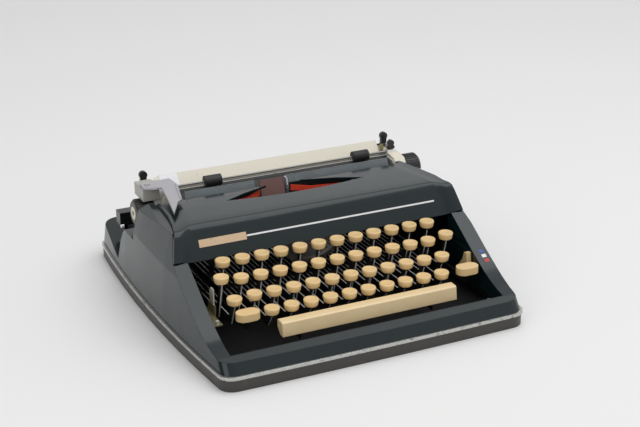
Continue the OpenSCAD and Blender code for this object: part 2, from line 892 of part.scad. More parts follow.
module type_segment() {
    ear_z = segment_z - 9;
    left_x = segment_guide_left + post_t / 2 + ear_gap;
    right_x = segment_guide_right - post_t / 2 - ear_gap;
    color("silver") union() {
        translate([print_x, segment_y + segment_t, segment_z]) rotate([90, 0, 0])
            linear_extrude(segment_t) difference() {
                circle(segment_r, $fn = 96);
                circle(segment_bore_r, $fn = 96);
                translate([-big / 2, -5]) square([big, big]);
            }
        block([left_x, segment_y, ear_z], [print_x - segment_r + 4, segment_y + segment_t, ear_z + 4]);
        block([print_x + segment_r - 4, segment_y, ear_z], [right_x, segment_y + segment_t, ear_z + 4]);
    }
}

// Type bars fanned round the segment, each lying forward with its type at the front end
module typebars() {
    slug_h = 4;
    first = 195;
    step = (345 - first) / (typebar_count - 1);
    color("silver") for (k = [0:typebar_count - 1])
        translate([print_x, 0, segment_z]) rotate([0, -(first + k * step), 0]) {
            y_2 = segment_y - seat_gap;
            block([typebar_r - 2, y_2 - typebar_len, -0.5], [typebar_r + 2, y_2, 0.5]);
            block([typebar_r - 2.4, y_2 - typebar_len, -0.9],
                [typebar_r - 2.4 + slug_h, y_2 - typebar_len + 5, 0.9]);
        }
}

// Ribbon, its guide and its spools
guide_half = 12.5;
guide_top_z = 96;
guide_travel = 5;
spool_z = 66.3;
spool_h = 17;

module ribbon_guide() {
    color("maroon") union() {
        side_plate(print_x - guide_half, 2 * guide_half) polygon([
            [guide_y, 68],
            [guide_y + guide_t, 68],
            [guide_y + 2.6, 80],
            [guide_y + 8.6, guide_top_z - 0.6],
            [guide_y + 7.2, guide_top_z],
            [guide_y, 80],
        ]);
        block([ribbon_post_x - 1.5, guide_y, 42], [ribbon_post_x + 1.5, guide_y + guide_t, 70]);
    }
}

module spool(x) {
    flange_t = 1;
    hub_r = 8;
    translate([x, spool_y, spool_z]) rotate_extrude($fn = 64) polygon([
        [3 + shaft_gap, 0],
        [spool_r, 0],
        [spool_r, flange_t],
        [hub_r + 7, flange_t],
        [hub_r + 7, spool_h - flange_t],
        [spool_r, spool_h - flange_t],
        [spool_r, spool_h],
        [3 + shaft_gap, spool_h],
    ]);
}

module ribbon_spool_left() {
    color("dimgray") spool(spool_x_left);
}

module ribbon_spool_right() {
    color("dimgray") spool(spool_x_right);
}

module ribbon() {
    ribbon_t = 0.5;
    inner = guide_half + 4;
    color("red") for (side = [[-1, spool_x_left], [1, spool_x_right]]) {
        reach = abs(side[1] - print_x);
        translate([print_x, 0, spool_z + 11]) scale([side[0], 1, 1]) linear_extrude(ribbon_w) polygon([
            [reach, spool_y + spool_r + 0.6],
            [inner + 18, 31],
            [inner, guide_y - 3],
            [inner, guide_y - 3 + ribbon_t],
            [inner + 18, 31 + ribbon_t],
            [reach, spool_y + spool_r + 0.6 + ribbon_t],
        ]);
    }
}

holder_y = 50.2;
holder_top_z = 96;
holder_gap_half = 16.5;
holder_left = 33 - cover_rear_half;
holder_right = cover_rear_half - 7;

module holder(x_1, x_2, foot_1, foot_2) {
    block([foot_1, holder_y, plate_top_z - 8], [foot_2, holder_y + 2, 76]);
    side_plate(x_1, x_2 - x_1) polygon([
        [holder_y, 74],
        [holder_y + 2, 74],
        [holder_y + 3.2, 78],
        [holder_y + 7.4, holder_top_z - 0.2],
        [holder_y + 6.4, holder_top_z],
        [holder_y + 1.8, 78],
    ]);
}

module card_holders() {
    end = rear_plate_x - seat_gap;
    color("lightsteelblue") {
        holder(holder_left, print_x - holder_gap_half, -end, print_x - holder_gap_half);
        holder(print_x + holder_gap_half, holder_right, print_x + holder_gap_half, end);
    }
}

module mainspring_drum() {
    drum_r = 15;
    drum_y = fulcrum_y + 14;
    drum_t = 10;
    color("dimgray") translate([27.5 - rear_plate_x, drum_y, beam_low_z + 3]) rotate([-90, 0, 0]) union() {
        cylinder(h = drum_t, r = drum_r, $fn = 64);
        cylinder(h = rail_y - 3 - drum_y - seat_gap, d = 5, $fn = smooth);
    }
}

// Carriage
bed_z = platen_z - 12.7;
bed_top_z = bed_z + 8;
end_in = platen_len / 2 + 4;
end_t = 2.8;
housing_in = end_in + end_t + seat_gap;
housing_out = housing_in + housing_t;
feed_y = platen_y + 14;
feed_z = platen_z - 12.1;
feed_r = sqrt(pow(feed_y - platen_y, 2) + pow(feed_z - platen_z, 2)) - platen_r - sheet_gap;
feed_pin_d = 3;
bail_pivot_y = platen_y + 10;
bail_pivot_z = platen_z + 9;
bail_pin_d = 4;
bail_y = platen_y;
bail_z = platen_z + platen_r + bail_roller_d / 2 + sheet_gap;
bail_rod_d = 2;
bail_roller_len = 17;
bail_places = [-73, 89];
stop_y = 108;
stop_z = 76;
stop_bar = 4;
stop_places = [-95, 95];
stop_post = platen_len / 2 - 4;
tab_z = 91.6;
tab_pivot_z = tab_z + 1.8;
tab_y = 103;

// A pair of copies mirrored across the middle of the carriage
module both_ends() {
    translate([carriage_x, 0, 0]) both_sides() children();
}

module carriage_frame() {
    half = end_in + 0.1;
    bed_y = rail_y - 3.5;
    bed_rear = rail_2_y + rail_2_w + 4;
    plate_z = bed_z - 2.6;
    color("gainsboro") translate([carriage_x, 0, 0]) difference() {
        union() {
            block([-half, bed_y, bed_z], [half, bed_rear, bed_top_z]);
            both_sides() {
                side_plate(end_in, end_t) difference() {
                    polygon([
                        [platen_y - 14, plate_z],
                        [bed_rear, plate_z],
                        [bed_rear, bed_top_z + 6],
                        [tab_y, platen_z + 13],
                        [bail_pivot_y, platen_z + 14],
                        [platen_y - 10, platen_z + 13],
                        [platen_y - 14, platen_z + 5],
                    ]);
                    translate([platen_y, platen_z])
                        circle(d = platen_shaft_d + 2 * shaft_gap, $fn = smooth);
                    translate([feed_y, feed_z]) circle(d = feed_pin_d + 2 * shaft_gap, $fn = smooth);
                    translate([bail_pivot_y, bail_pivot_z])
                        circle(d = bail_pin_d + 2 * shaft_gap, $fn = smooth);
                }
                block([stop_post, stop_y - stop_bar / 2, bed_top_z - 1],
                    [stop_post + 3, stop_y + stop_bar / 2, stop_z + stop_bar / 2]);
            }
            block([-stop_post - 1, stop_y - stop_bar / 2, stop_z - stop_bar / 2],
                [stop_post + 1, stop_y + stop_bar / 2, stop_z + stop_bar / 2]);
        }
        block([-big, rail_y - sheet_gap, 0],
            [big, rail_y + rail_w + sheet_gap, rail_top_z + sheet_gap]);
        block([-big, rail_2_y - sheet_gap, 0],
            [big, rail_2_y + rail_2_w + sheet_gap, rail_top_z + sheet_gap]);
    }
}

hinge_x = carriage_x - housing_out - 5;
hinge_y = platen_y - 4;
return_t = 2;
hinge_pin_d = 5;

module carriage_ends() {
    front = platen_y - 15;
    color("beige") {
        both_ends() side_plate(housing_in, housing_t) difference() {
            polygon([
                [front, bed_z],
                [front, platen_z + 5],
                [front + 7, platen_z + 14],
                [front + 20, tab_z - 0.6],
                [front + 48, tab_z - 0.6],
                [front + 48, rail_top_z + 1],
                [rail_y - 2, rail_top_z + 1],
                [rail_y - 2, bed_z],
            ]);
            translate([platen_y, platen_z]) circle(d = platen_shaft_d + 2, $fn = smooth);
        }
        hinge_block();
    }
}

// Block on the left housing that carries the return lever and its pin
module hinge_block() {
    x = carriage_x - housing_in - housing_t;
    low = platen_z + knob_r + 1;
    block([x - 11.5, hinge_y - 6, low], [x + 5, hinge_y + 19, return_z - sheet_gap]);
    translate([hinge_x, hinge_y, return_z - 1])
        cylinder(h = return_t + 2, d = hinge_pin_d, $fn = smooth);
}

module return_lever() {
    color("lavender") translate([hinge_x, hinge_y, return_z]) linear_extrude(return_t) difference() {
        polygon([
            [-5, 7],
            [-6, -6],
            [-2, -9.5],
            [10, -13.5],
            [4, -49],
            [-2, -80.5],
            [11.2, -54.6],
            [17, -50],
            [26.5, -12],
            [25, 7],
        ]);
        circle(d = hinge_pin_d + 2 * shaft_gap, $fn = smooth);
    }
}

module paper_table() {
    left = -end_in + 2;
    color("ivory") translate([carriage_x, 0, 0])
        side_plate(left, end_in - 0.5 - left) polygon([
            [platen_y + 16.3, table_top_z - 10.8],
            [platen_y + 27, table_top_z],
            [platen_y + 28.2, table_top_z - 1],
            [platen_y + 18, table_top_z - 11.4],
            [platen_y + 21, bed_top_z],
            [platen_y + 19.6, bed_top_z],
        ]);
}

module platen() {
    color("#2b2b2b") translate([carriage_x - platen_len / 2, platen_y, platen_z])
        rotate([0, 90, 0]) difference() {
            cylinder(h = platen_len, r = platen_r, $fn = 64);
            translate([0, 0, -1]) cylinder(h = platen_len + 2, d = platen_shaft_d + 2 * shaft_gap, $fn = smooth);
        }
}

module platen_knobs() {
    out = housing_out + 0.5;
    ratchet_r = 9;
    color("black") union() {
        bar_x(carriage_x - out - 1, platen_y, platen_z, 2 * out + 2, platen_shaft_d);
        both_ends() translate([out, platen_y, platen_z]) rotate([90, 0, 90])
            rotate_extrude($fn = 64) polygon([
                [0, 0],
                [knob_r - 1, 0],
                [knob_r, 1],
                [knob_r, knob_len - 1.5],
                [knob_r - 1.5, knob_len],
                [0, knob_len],
            ]);
        bar_x(carriage_x - platen_len / 2 - 2.8, platen_y, platen_z, 2, 2 * ratchet_r);
    }
}

bail_arm_in = platen_len / 2 + 1.1;
bail_arm_t = 1.5;

module paper_bail() {
    low_rod = [bail_y - 2.7, bail_z - 2.9];
    web = bail_roller_len / 2 + 1.2;
    color("silver") translate([carriage_x, 0, 0]) union() {
        both_sides() {
            side_plate(bail_arm_in, bail_arm_t) polygon([
                [bail_pivot_y - 1, bail_pivot_z - 3],
                [bail_pivot_y + 3, bail_pivot_z - 1],
                [bail_pivot_y + 2.5, bail_pivot_z + 3],
                [bail_y + 1, bail_z + 1.4],
                [bail_y - 1.6, bail_z + 1.4],
                [low_rod[0] - 1.2, low_rod[1] - 1.2],
                [low_rod[0] + 1, low_rod[1] - 1.2],
            ]);
            bar_x(bail_arm_in + 0.5, bail_pivot_y, bail_pivot_z, end_in + end_t - 1 - bail_arm_in,
                bail_pin_d);
        }
        bar_x(-bail_arm_in - 0.5, bail_y, bail_z, 2 * bail_arm_in + 1, bail_rod_d);
        for (
            span = [
                [-bail_arm_in - 0.5, bail_places[0] - web],
                [bail_places[0] + web, bail_places[1] - web],
                [bail_places[1] + web, bail_arm_in + 0.5],
            ]
        )
            bar_x(span[0], low_rod[0], low_rod[1], span[1] - span[0], bail_rod_d - 0.4);
        for (place = bail_places, side = [-1, 1])
            side_plate(place + side * (web + 0.6) - 0.6, 1.2) polygon([
                [low_rod[0] - 0.6, low_rod[1] - 0.4],
                [low_rod[0] + 0.6, low_rod[1] - 0.8],
                [bail_y + 0.7, bail_z],
                [bail_y - 0.6, bail_z + 0.7],
            ]);
    }
}

module bail_rollers() {
    color("#222222") for (place = bail_places)
        translate([carriage_x + place - bail_roller_len / 2, bail_y, bail_z])
            rotate([0, 90, 0]) difference() {
                cylinder(h = bail_roller_len, d = bail_roller_d, $fn = 48);
                translate([0, 0, -1])
                    cylinder(h = bail_roller_len + 2, d = bail_rod_d + 2 * shaft_gap, $fn = smooth);
            }
}

// Upright finger tab with a rounded top, its low edge at tab_z
module finger_tab(x, y, w, h, t) {
    translate([x, y + t / 2, tab_z]) rotate([90, 0, 0]) linear_extrude(t) {
        translate([w / 2, h - w / 2]) circle(d = w, $fn = smooth);
        translate([w * 0.12, 0]) square([w * 0.76, h - w / 2]);
    }
}

tab_left_x = -(housing_out + 2.5);
tab_right_x = housing_in + 1.8;
tab_w = 8;
tab_t = 4;

module carriage_release_levers() {
    rod_from = tab_left_x + tab_w - 1;
    color("black") translate([carriage_x, 0, 0]) union() {
        finger_tab(tab_left_x, tab_y, tab_w, 14.4, tab_t);
        finger_tab(tab_right_x, tab_y, tab_w, 15, tab_t);
        bar_x(rod_from, tab_y, tab_pivot_z, tab_right_x + 1 - rod_from, 2.4);
    }
}

module paper_release_lever() {
    x = tab_right_x + 2.6;
    w = 6.6;
    pin_out = 1;
    color("black") translate([carriage_x, 0, 0]) union() {
        finger_tab(x, tab_y - 13, w, 10, tab_t);
        bar_x(x - pin_out, tab_y - 13, tab_pivot_z, w + 2 * pin_out, 3);
    }
}

module feed_rollers() {
    roller_len = 40;
    half = end_in + end_t - 1;
    color("#333333") translate([carriage_x, 0, 0]) union() {
        bar_x(-half, feed_y, feed_z, 2 * half, feed_pin_d);
        for (x = [-85, 0, 85])
            bar_x(x - roller_len / 2, feed_y, feed_z, roller_len, 2 * feed_r);
    }
}

// Margin stop: a block round its bar with a finger tab on top
module margin_stop(place) {
    r = stop_bar / 2;
    w = 8;
    wall = 2.2;
    color("dimgray") translate([carriage_x + place, stop_y, stop_z]) side_plate(-w / 2, w) difference() {
        polygon([
            [-r - wall, -r - wall],
            [r + wall, -r - wall],
            [r + wall, r + wall],
            [1.5, r + wall + 6],
            [-1.5, r + wall + 6],
            [-r - wall, r + wall],
        ]);
        square(stop_bar + 2 * sheet_gap, center = true);
    }
}

module margin_stop_left() {
    margin_stop(stop_places[0]);
}

module margin_stop_right() {
    margin_stop(stop_places[1]);
}

base_tray();
base_bead();
tray_bushes();
body_shell();
ribbon_cover();
cover_trim();
chassis_frame();
chassis_screws();
key_comb();
lever_shaft();
carriage_rail();
bell();
card_holders();
ribbon();
space_bar();
shift_keys();
shift_lock();
margin_release_key();
backspace_key();
ribbon_selector();
type_segment();
typebars();
ribbon_guide();
ribbon_spool_left();
ribbon_spool_right();
mainspring_drum();
carriage_frame();
carriage_ends();
paper_table();
return_lever();
platen();
platen_knobs();
paper_bail();
bail_rollers();
carriage_release_levers();
paper_release_lever();
feed_rollers();
margin_stop_left();
margin_stop_right();
for (i = [1:upper_count]) keys_upper(i);
for (i = [1:lower_count]) keys_lower(i);
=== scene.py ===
"""Looks of the portable typewriter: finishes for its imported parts, small trim and the studio."""

import json
import logging
import math
from dataclasses import dataclass, field
from typing import Any, Callable, Iterable, Sequence

import bmesh
import bpy
from mathutils import Matrix, Vector
from mathutils.bvhtree import BVHTree

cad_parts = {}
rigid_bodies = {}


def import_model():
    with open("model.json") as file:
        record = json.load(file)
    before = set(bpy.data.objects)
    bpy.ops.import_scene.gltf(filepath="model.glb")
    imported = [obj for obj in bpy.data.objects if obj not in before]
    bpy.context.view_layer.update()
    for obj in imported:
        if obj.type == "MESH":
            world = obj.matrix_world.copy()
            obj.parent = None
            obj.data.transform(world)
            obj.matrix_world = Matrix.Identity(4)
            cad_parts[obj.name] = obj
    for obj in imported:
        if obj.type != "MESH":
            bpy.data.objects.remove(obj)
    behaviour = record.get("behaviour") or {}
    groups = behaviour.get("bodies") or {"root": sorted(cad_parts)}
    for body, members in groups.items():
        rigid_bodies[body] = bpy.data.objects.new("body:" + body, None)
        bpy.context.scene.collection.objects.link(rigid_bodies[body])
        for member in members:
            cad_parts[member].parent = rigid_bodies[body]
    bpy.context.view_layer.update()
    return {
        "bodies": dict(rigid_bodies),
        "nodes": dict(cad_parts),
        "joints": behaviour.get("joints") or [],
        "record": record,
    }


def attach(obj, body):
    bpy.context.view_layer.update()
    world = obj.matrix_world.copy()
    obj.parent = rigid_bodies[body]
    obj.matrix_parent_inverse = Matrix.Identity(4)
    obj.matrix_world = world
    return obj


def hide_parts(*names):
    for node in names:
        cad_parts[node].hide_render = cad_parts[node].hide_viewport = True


MM = 0.001
MERGE_GAP = 0.002 * MM
FLAT_ANGLE = 0.3  # degrees
SMOOTH_ANGLE = 34.0  # degrees
ROUND_SEGMENTS = 40
BEVEL_SAMPLES = 4
LEVER_LIMIT = 2 * MM
LOG = logging.getLogger("typewriter")
Colour = tuple[float, float, float]
Chooser = Callable[[Vector, Vector], int]
FacePick = Callable[[int, Vector, Vector], bool]
Point2 = tuple[float, float]
Point3 = tuple[float, float, float]
Plate = tuple[int, Point3, Point3]  # material number, low corner, high corner
Rod = tuple[Point3, float, float]  # centre, radius, depth
BODY_OF: dict[str, str] = {}


# Shader values


@dataclass(frozen=True)
class Wire:
    """A value in a shader tree: an output socket, or what an expression on such values gives."""

    tree: bpy.types.NodeTree
    socket: bpy.types.NodeSocket

    def _math(self, operation: str, first: "Wire | float", second: "Wire | float") -> "Wire":
        """Adds a Math node.

        Args:
            operation: Name of the Math node's operation.
            first: Left value.
            second: Right value.

        Returns:
            The node's result.
        """
        made = self.tree.nodes.new("ShaderNodeMath")
        made.operation = operation
        for socket, value in zip(made.inputs, (first, second)):
            if isinstance(value, Wire):
                self.tree.links.new(value.socket, socket)
            else:
                socket.default_value = value
        return Wire(self.tree, made.outputs[0])

    def __add__(self, other: "Wire | float") -> "Wire":
        """Sum."""
        return self._math("ADD", self, other)

    def __radd__(self, other: float) -> "Wire":
        """Sum, reflected."""
        return self._math("ADD", other, self)

    def __sub__(self, other: "Wire | float") -> "Wire":
        """Difference."""
        return self._math("SUBTRACT", self, other)

    def __rsub__(self, other: float) -> "Wire":
        """Difference, reflected."""
        return self._math("SUBTRACT", other, self)

    def __mul__(self, other: "Wire | float") -> "Wire":
        """Product."""
        return self._math("MULTIPLY", self, other)

    def __rmul__(self, other: float) -> "Wire":
        """Product, reflected."""
        return self._math("MULTIPLY", other, self)


class Surface:
    """Node tree of one material, with one method that adds any node."""

    def __init__(self, name: str, edge: float) -> None:
        """Starts a material with its Principled shader, and edges rounded by a radius in metres."""
        self.material = bpy.data.materials.new(name)
        self.material.use_nodes = True
        self.tree = self.material.node_tree
        self.tree.nodes.clear()
        output = self.tree.nodes.new("ShaderNodeOutputMaterial")
        self.shader = self.tree.nodes.new("ShaderNodeBsdfPrincipled")
        self.tree.links.new(self.shader.outputs[0], output.inputs[0])
        self.point = self.node("TexCoord", out="Object")
        self.rounded = self.node("Bevel", {"samples": BEVEL_SAMPLES}, {"Radius": edge})

    def node(
        self,
        kind: str,
        settings: dict[str, Any] | None = None,
        values: dict[str | int, Any] | None = None,
        out: int | str = 0,
    ) -> Wire:
        """Adds a shader node.

        Args:
            kind: Type of the node, without its ShaderNode prefix.
            settings: Properties of the node, set first.
            values: Numbers or links for its sockets, by name or index.
            out: Output that is wanted.

        Returns:
            That output.
        """
        made = self.tree.nodes.new("ShaderNode" + kind)
        for key, value in (settings or {}).items():
            setattr(made, key, value)
        for key, value in (values or {}).items():
            self._feed(made.inputs[key], value)
        return Wire(self.tree, made.outputs[out])

    def _feed(self, socket: bpy.types.NodeSocket, value: Any) -> None:
        """Links a wire to a socket, or writes a plain value on it."""
        if isinstance(value, Wire):
            self.tree.links.new(value.socket, socket)
        else:
            socket.default_value = value

    def set(self, name: str, value: Any) -> None:
        """Sets or links an input of the Principled shader."""
        if isinstance(value, tuple) and len(value) == 3:
            value = (*value, 1.0)
        self._feed(self.shader.inputs[name], value)

    def noise(
        self, scale: float, detail: float = 3.0, stretch: Point3 = (1.0, 1.0, 1.0), rough: float = 0.5
    ) -> Wire:
        """Noise on the object's own coordinates.

        Args:
            scale: Features per metre.
            detail: Octaves.
            stretch: Factor on each axis; a small one draws the pattern out along it.
            rough: Weight of the finer octaves.

        Returns:
            The noise, from 0 to 1.
        """
        point = self.node("Mapping", {"vector_type": "POINT"}, {"Vector": self.point, "Scale": stretch})
        values = {"Vector": point, "Scale": scale, "Detail": detail, "Roughness": rough}
        return self.node("TexNoise", values=values)

    def span(self, value: Wire, low: float, high: float, first: float = 0.0, last: float = 1.0) -> Wire:
        """Maps a range smoothly to another, clamped."""
        values = {"Value": value, "From Min": low, "From Max": high, "To Min": first, "To Max": last}
        return self.node("MapRange", {"interpolation_type": "SMOOTHSTEP"}, values)

    def vary(self, middle: float, swing: float, noise: Wire, low: float, high: float) -> Wire:
        """Lets a value swing both ways about its middle, as a noise goes from low to high."""
        return self.span(noise, low, high, middle - swing, middle + swing)

    def mix(self, share: "Wire | float", first: "Wire | Colour", second: "Wire | Colour") -> Wire:
        """Mixes two colours by a share."""
        pair = [value if isinstance(value, Wire) else (*value, 1.0) for value in (first, second)]
        return self.node("Mix", {"data_type": "RGBA"}, {0: share, 6: pair[0], 7: pair[1]}, out=2)

    def axis(self, name: str) -> Wire:
        """Object coordinate along X, Y or Z."""
        return self.node("SeparateXYZ", values={0: self.point}, out=name)

    def upward(self) -> Wire:
        """How far the surface faces up, from -1 to 1."""
        normal = self.node("TexCoord", out="Normal")
        return self.node("SeparateXYZ", values={0: normal}, out="Z")

    def bump(self, height: Wire, strength: float, distance: float) -> Wire:
        """Adds a Bump node.

        Args:
            height: Height of the relief.
            strength: Share of the relief.
            distance: Depth of the relief in metres.

        Returns:
            The normal.
        """
        values = {"Strength": strength, "Distance": distance, "Height": height, "Normal": self.rounded}
        return self.node("Bump", values=values)


def shade(colour: Colour, factor: float) -> Colour:
    """Colour made lighter or darker by a factor."""
    return (min(1.0, colour[0] * factor), min(1.0, colour[1] * factor), min(1.0, colour[2] * factor))


# Finishes


@dataclass(frozen=True)
class Finish:
    """A finish by its name, colour, roughness and slow change of tone."""

    name: str
    colour: Colour
    roughness: float = 0.45
    variation: float = 0.12
    edge: float = 0.4 * MM

    def dress(self, s: Surface) -> None:
        """Writes the shader of the finish."""
        tone = s.span(s.noise(scale=14, detail=4), low=0.3, high=0.7)
        s.set("Base Color", s.mix(tone, shade(self.colour, 1 - self.variation), self.colour))
        s.set("Roughness", s.vary(self.roughness, 0.06, s.noise(scale=90, detail=4), low=0.25, high=0.75))
        s.set("Normal", s.bump(s.noise(scale=1400, detail=3), strength=0.12, distance=0.2 * MM))

    def material(self) -> bpy.types.Material:
        """Material of the finish, made at its first use."""
        found = bpy.data.materials.get(self.name)
        if found is not None:
            return found
        surface = Surface(self.name, self.edge)
        self.dress(surface)
        return surface.material


@dataclass(frozen=True)
class Enamel(Finish):
    """Stoved gloss paint with a little orange peel, hazy patches and dust on what faces up."""

    coat: float = 0.6
    dust: float = 0.1
    dust_colour: Colour = (0.28, 0.29, 0.3)
    peel: float = 0.05
    specular: float = 0.5
    coat_roughness: float = 0.08

    def dress(self, s: Surface) -> None:
        """Writes the shader of the paint."""
        haze = s.span(s.noise(scale=7, detail=5), low=0.35, high=0.75)
        specks = s.span(s.noise(scale=1500, detail=2), low=0.7, high=0.8)
        facing_up = s.span(s.upward(), low=0.15, high=0.95)
        settled = (facing_up * (specks * 0.75 + haze * 0.25)) * self.dust
        darker, lighter = shade(self.colour, 1 - self.variation), shade(self.colour, 1 + self.variation)
        paint = s.mix(haze, darker, lighter)
        s.set("Base Color", s.mix(settled, paint, self.dust_colour))
        wear = s.span(s.noise(scale=45, detail=6, rough=0.65), low=0.45, high=0.8)
        s.set("Roughness", settled * 0.5 + (wear * 0.1 + self.roughness))
        s.set("Specular IOR Level", self.specular)
        s.set("Coat Weight", self.coat)
        s.set("Coat Roughness", self.coat_roughness)
        s.set("Normal", s.bump(s.noise(scale=420, detail=2), strength=self.peel, distance=0.4 * MM))


@dataclass(frozen=True)
class Worn(Finish):
    """Metal or paint with scuffs that show another colour."""

    metallic: float = 1.0
    worn: Colour = (0.1, 0.1, 0.1)
    amount: float = 0.4
    relief: float = 0.1
    patches: float = 70.0

    def dress(self, s: Surface) -> None:
        """Writes the shader of the worn finish."""
        level = 0.72 - 0.34 * self.amount
        scuffs = s.span(s.noise(scale=self.patches, detail=6, rough=0.7), low=level, high=level + 0.12)
        grain = s.noise(scale=900, detail=3)
        tone = s.span(grain, low=0.25, high=0.75)
        body = s.mix(tone, shade(self.colour, 1 - self.variation), self.colour)
        s.set("Base Color", s.mix(scuffs, body, self.worn))
        s.set("Metallic", self.metallic * (1 - scuffs * 0.7))
        s.set("Roughness", (grain * 0.14 + (self.roughness - 0.07)) + scuffs * 0.2)
        s.set("Normal", s.bump(grain + scuffs * 0.8, strength=self.relief, distance=0.3 * MM))


@dataclass(frozen=True)
class Moulded(Finish):
    """Moulded plastic that has aged a little unevenly, with painted shade on the faces that turn down."""

    aged: Colour = (0.55, 0.36, 0.13)
    gloss: float = 0.15
    underside_shade: float = 0.12
    gloss_roughness: float = 0.25

    def dress(self, s: Surface) -> None:
        """Writes the shader of the plastic."""
        patches = s.span(s.noise(scale=38, detail=3), low=0.35, high=0.75)
        spots = s.span(s.noise(scale=420, detail=4, rough=0.7), low=0.62, high=0.82)
        tone = s.mix(patches * self.variation * 1.6, self.colour, self.aged)
        # Painted shade: faces that turn down are mixed towards a deep tone of the aged colour.
        underside_shade = s.span(s.upward(), low=-0.9, high=0.1, first=self.underside_shade, last=0.0)
        tone = s.mix(spots * 0.12, tone, shade(self.aged, 0.6))
        s.set("Base Color", s.mix(underside_shade, tone, shade(self.aged, 0.5)))
        s.set("Roughness", s.vary(self.roughness, 0.08, s.noise(scale=160, detail=4), low=0.2, high=0.8))
        s.set("Coat Weight", self.gloss)
        s.set("Coat Roughness", self.gloss_roughness)
        s.set("Normal", s.bump(s.noise(scale=1100, detail=3), strength=0.1, distance=0.2 * MM))


@dataclass(frozen=True)
class Cloth(Finish):
    """Inked ribbon: one band over another, in a fine plain weave."""

    upper: Colour = (0.012, 0.011, 0.012)
    split_z: float = 84.5 * MM
    blur: float = 0.2 * MM

    def dress(self, s: Surface) -> None:
        """Writes the shader of the ribbon."""
        weave = s.node(
            "TexWave",
            {"wave_type": "BANDS", "bands_direction": "Z"},
            {"Vector": s.point, "Scale": 620.0, "Distortion": 1.5, "Detail": 2.0},
        )
        border = s.axis("Z") + (s.noise(scale=300, detail=2) - 0.5) * (3 * self.blur)
        band = s.span(border, low=self.split_z - self.blur, high=self.split_z + self.blur)
        tone = s.span(s.noise(scale=120, detail=4), low=0.3, high=0.7)
        ink = s.mix(tone, shade(self.colour, 0.8), self.colour)
        s.set("Base Color", s.mix(band, ink, self.upper))
        s.set("Roughness", self.roughness + weave * 0.1)
        s.set("Normal", s.bump(weave, strength=0.3, distance=0.2 * MM))


@dataclass(frozen=True)
class Clear(Finish):
    """Clear plastic sheet, slightly cloudy, with fine scratches."""

    alpha: float = 0.4

    def dress(self, s: Surface) -> None:
        """Writes the shader of the clear sheet."""
        cloud = s.noise(scale=60, detail=4)
        scratches = s.span(s.noise(scale=500, detail=3, stretch=(0.08, 1.0, 1.0)), low=0.62, high=0.7)
        s.set("Base Color", s.mix(cloud, shade(self.colour, 0.85), self.colour))
        s.set("Roughness", scratches * 0.3 + self.roughness)
        s.set("Alpha", s.vary(self.alpha, 0.06, cloud, low=0.3, high=0.7) + scratches * 0.15)
        s.set("Normal", s.bump(scratches, strength=0.08, distance=0.2 * MM))


SHELL = Enamel(
    "shell_petrol_paint",
    (0.003, 0.0115, 0.014),
    roughness=0.2, variation=0.12, edge=0.8 * MM, coat=0.36, dust=0.03, specular=0.28,
)
BLACK = Enamel(
    "black_paint",
    (0.006, 0.0065, 0.007),
    roughness=0.35, variation=0.1, edge=0.5 * MM, coat=0.3, dust=0.2,
)
# Partly a black lining in the tray, partly painted shade on the shell's underside and on the strips
# behind the cover.
LINER_AND_SHADE = Finish("black_liner_and_painted_shade", (0.006, 0.006, 0.0065), roughness=0.75)
TRAY = Worn(
    "tray_grey_paint",
    (0.05, 0.045, 0.041),
    roughness=0.4, variation=0.15, edge=1.0 * MM, metallic=0.0, worn=(0.12, 0.11, 0.1), amount=0.35,
)
BEAD = Worn(
    "bead_worn_metal",
    (0.6, 0.6, 0.57),
    roughness=0.26, variation=0.25, edge=0.8 * MM, metallic=0.9, worn=(0.13, 0.125, 0.115),
    amount=0.5, patches=210.0,
)
CREAM = Moulded(
    "key_cream_plastic",
    (0.78, 0.56, 0.275),
    roughness=0.4, variation=0.12, edge=0.8 * MM, aged=(0.62, 0.42, 0.18),
)
BAR = Moulded(
    "space_bar_cream_plastic",
    (0.8, 0.62, 0.36),
    roughness=0.42, variation=0.14, edge=0.8 * MM, aged=(0.62, 0.45, 0.22),
)
STEEL = Worn(
    "lever_steel",
    (0.86, 0.85, 0.83),
    roughness=0.3, variation=0.1, edge=0.25 * MM, metallic=0.35, worn=(0.3, 0.27, 0.23), amount=0.25,
)
DARK_STEEL = Worn(
    "dark_steel",
    (0.2, 0.197, 0.19),
    roughness=0.4, variation=0.15, edge=0.3 * MM, metallic=1.0, worn=(0.08, 0.065, 0.05), amount=0.35,
)
# Painted shade: a dark copy of the lever steel for the flat sides of the key levers and the arms of the
# space bar and shift keys; its scuffs are wear.
LEVER_SHADE = Worn(
    "lever_painted_shade",
    (0.035, 0.034, 0.033),
    roughness=0.4, variation=0.15, edge=0.2 * MM, metallic=0.6, worn=(0.2, 0.18, 0.16), amount=0.3,
)
BAIL = Worn(
    "bail_steel",
    (0.3, 0.3, 0.29),
    roughness=0.36, variation=0.12, edge=0.2 * MM, metallic=0.8, worn=(0.1, 0.09, 0.08), amount=0.4,
)
RUBBER = Finish("black_rubber", (0.016, 0.016, 0.017), roughness=0.55, variation=0.15, edge=0.6 * MM)
PLATEN = Finish("platen_rubber", (0.05, 0.052, 0.055), roughness=0.5, variation=0.2, edge=0.5 * MM)
KNOB = Moulded(
    "knob_black_plastic",
    (0.012, 0.012, 0.012),
    roughness=0.38, variation=0.05, edge=0.5 * MM, aged=(0.03, 0.028, 0.025),
)
GREY = Worn(
    "carriage_grey_paint",
    (0.43, 0.42, 0.38),
    roughness=0.45, variation=0.08, edge=0.5 * MM, metallic=0.0, worn=(0.2, 0.18, 0.15), amount=0.25,
)
IVORY = Worn(
    "paper_table_cream",
    (0.74, 0.7, 0.58),
    roughness=0.4, variation=0.06, edge=0.5 * MM, metallic=0.0, worn=(0.4, 0.35, 0.25), amount=0.2,
)
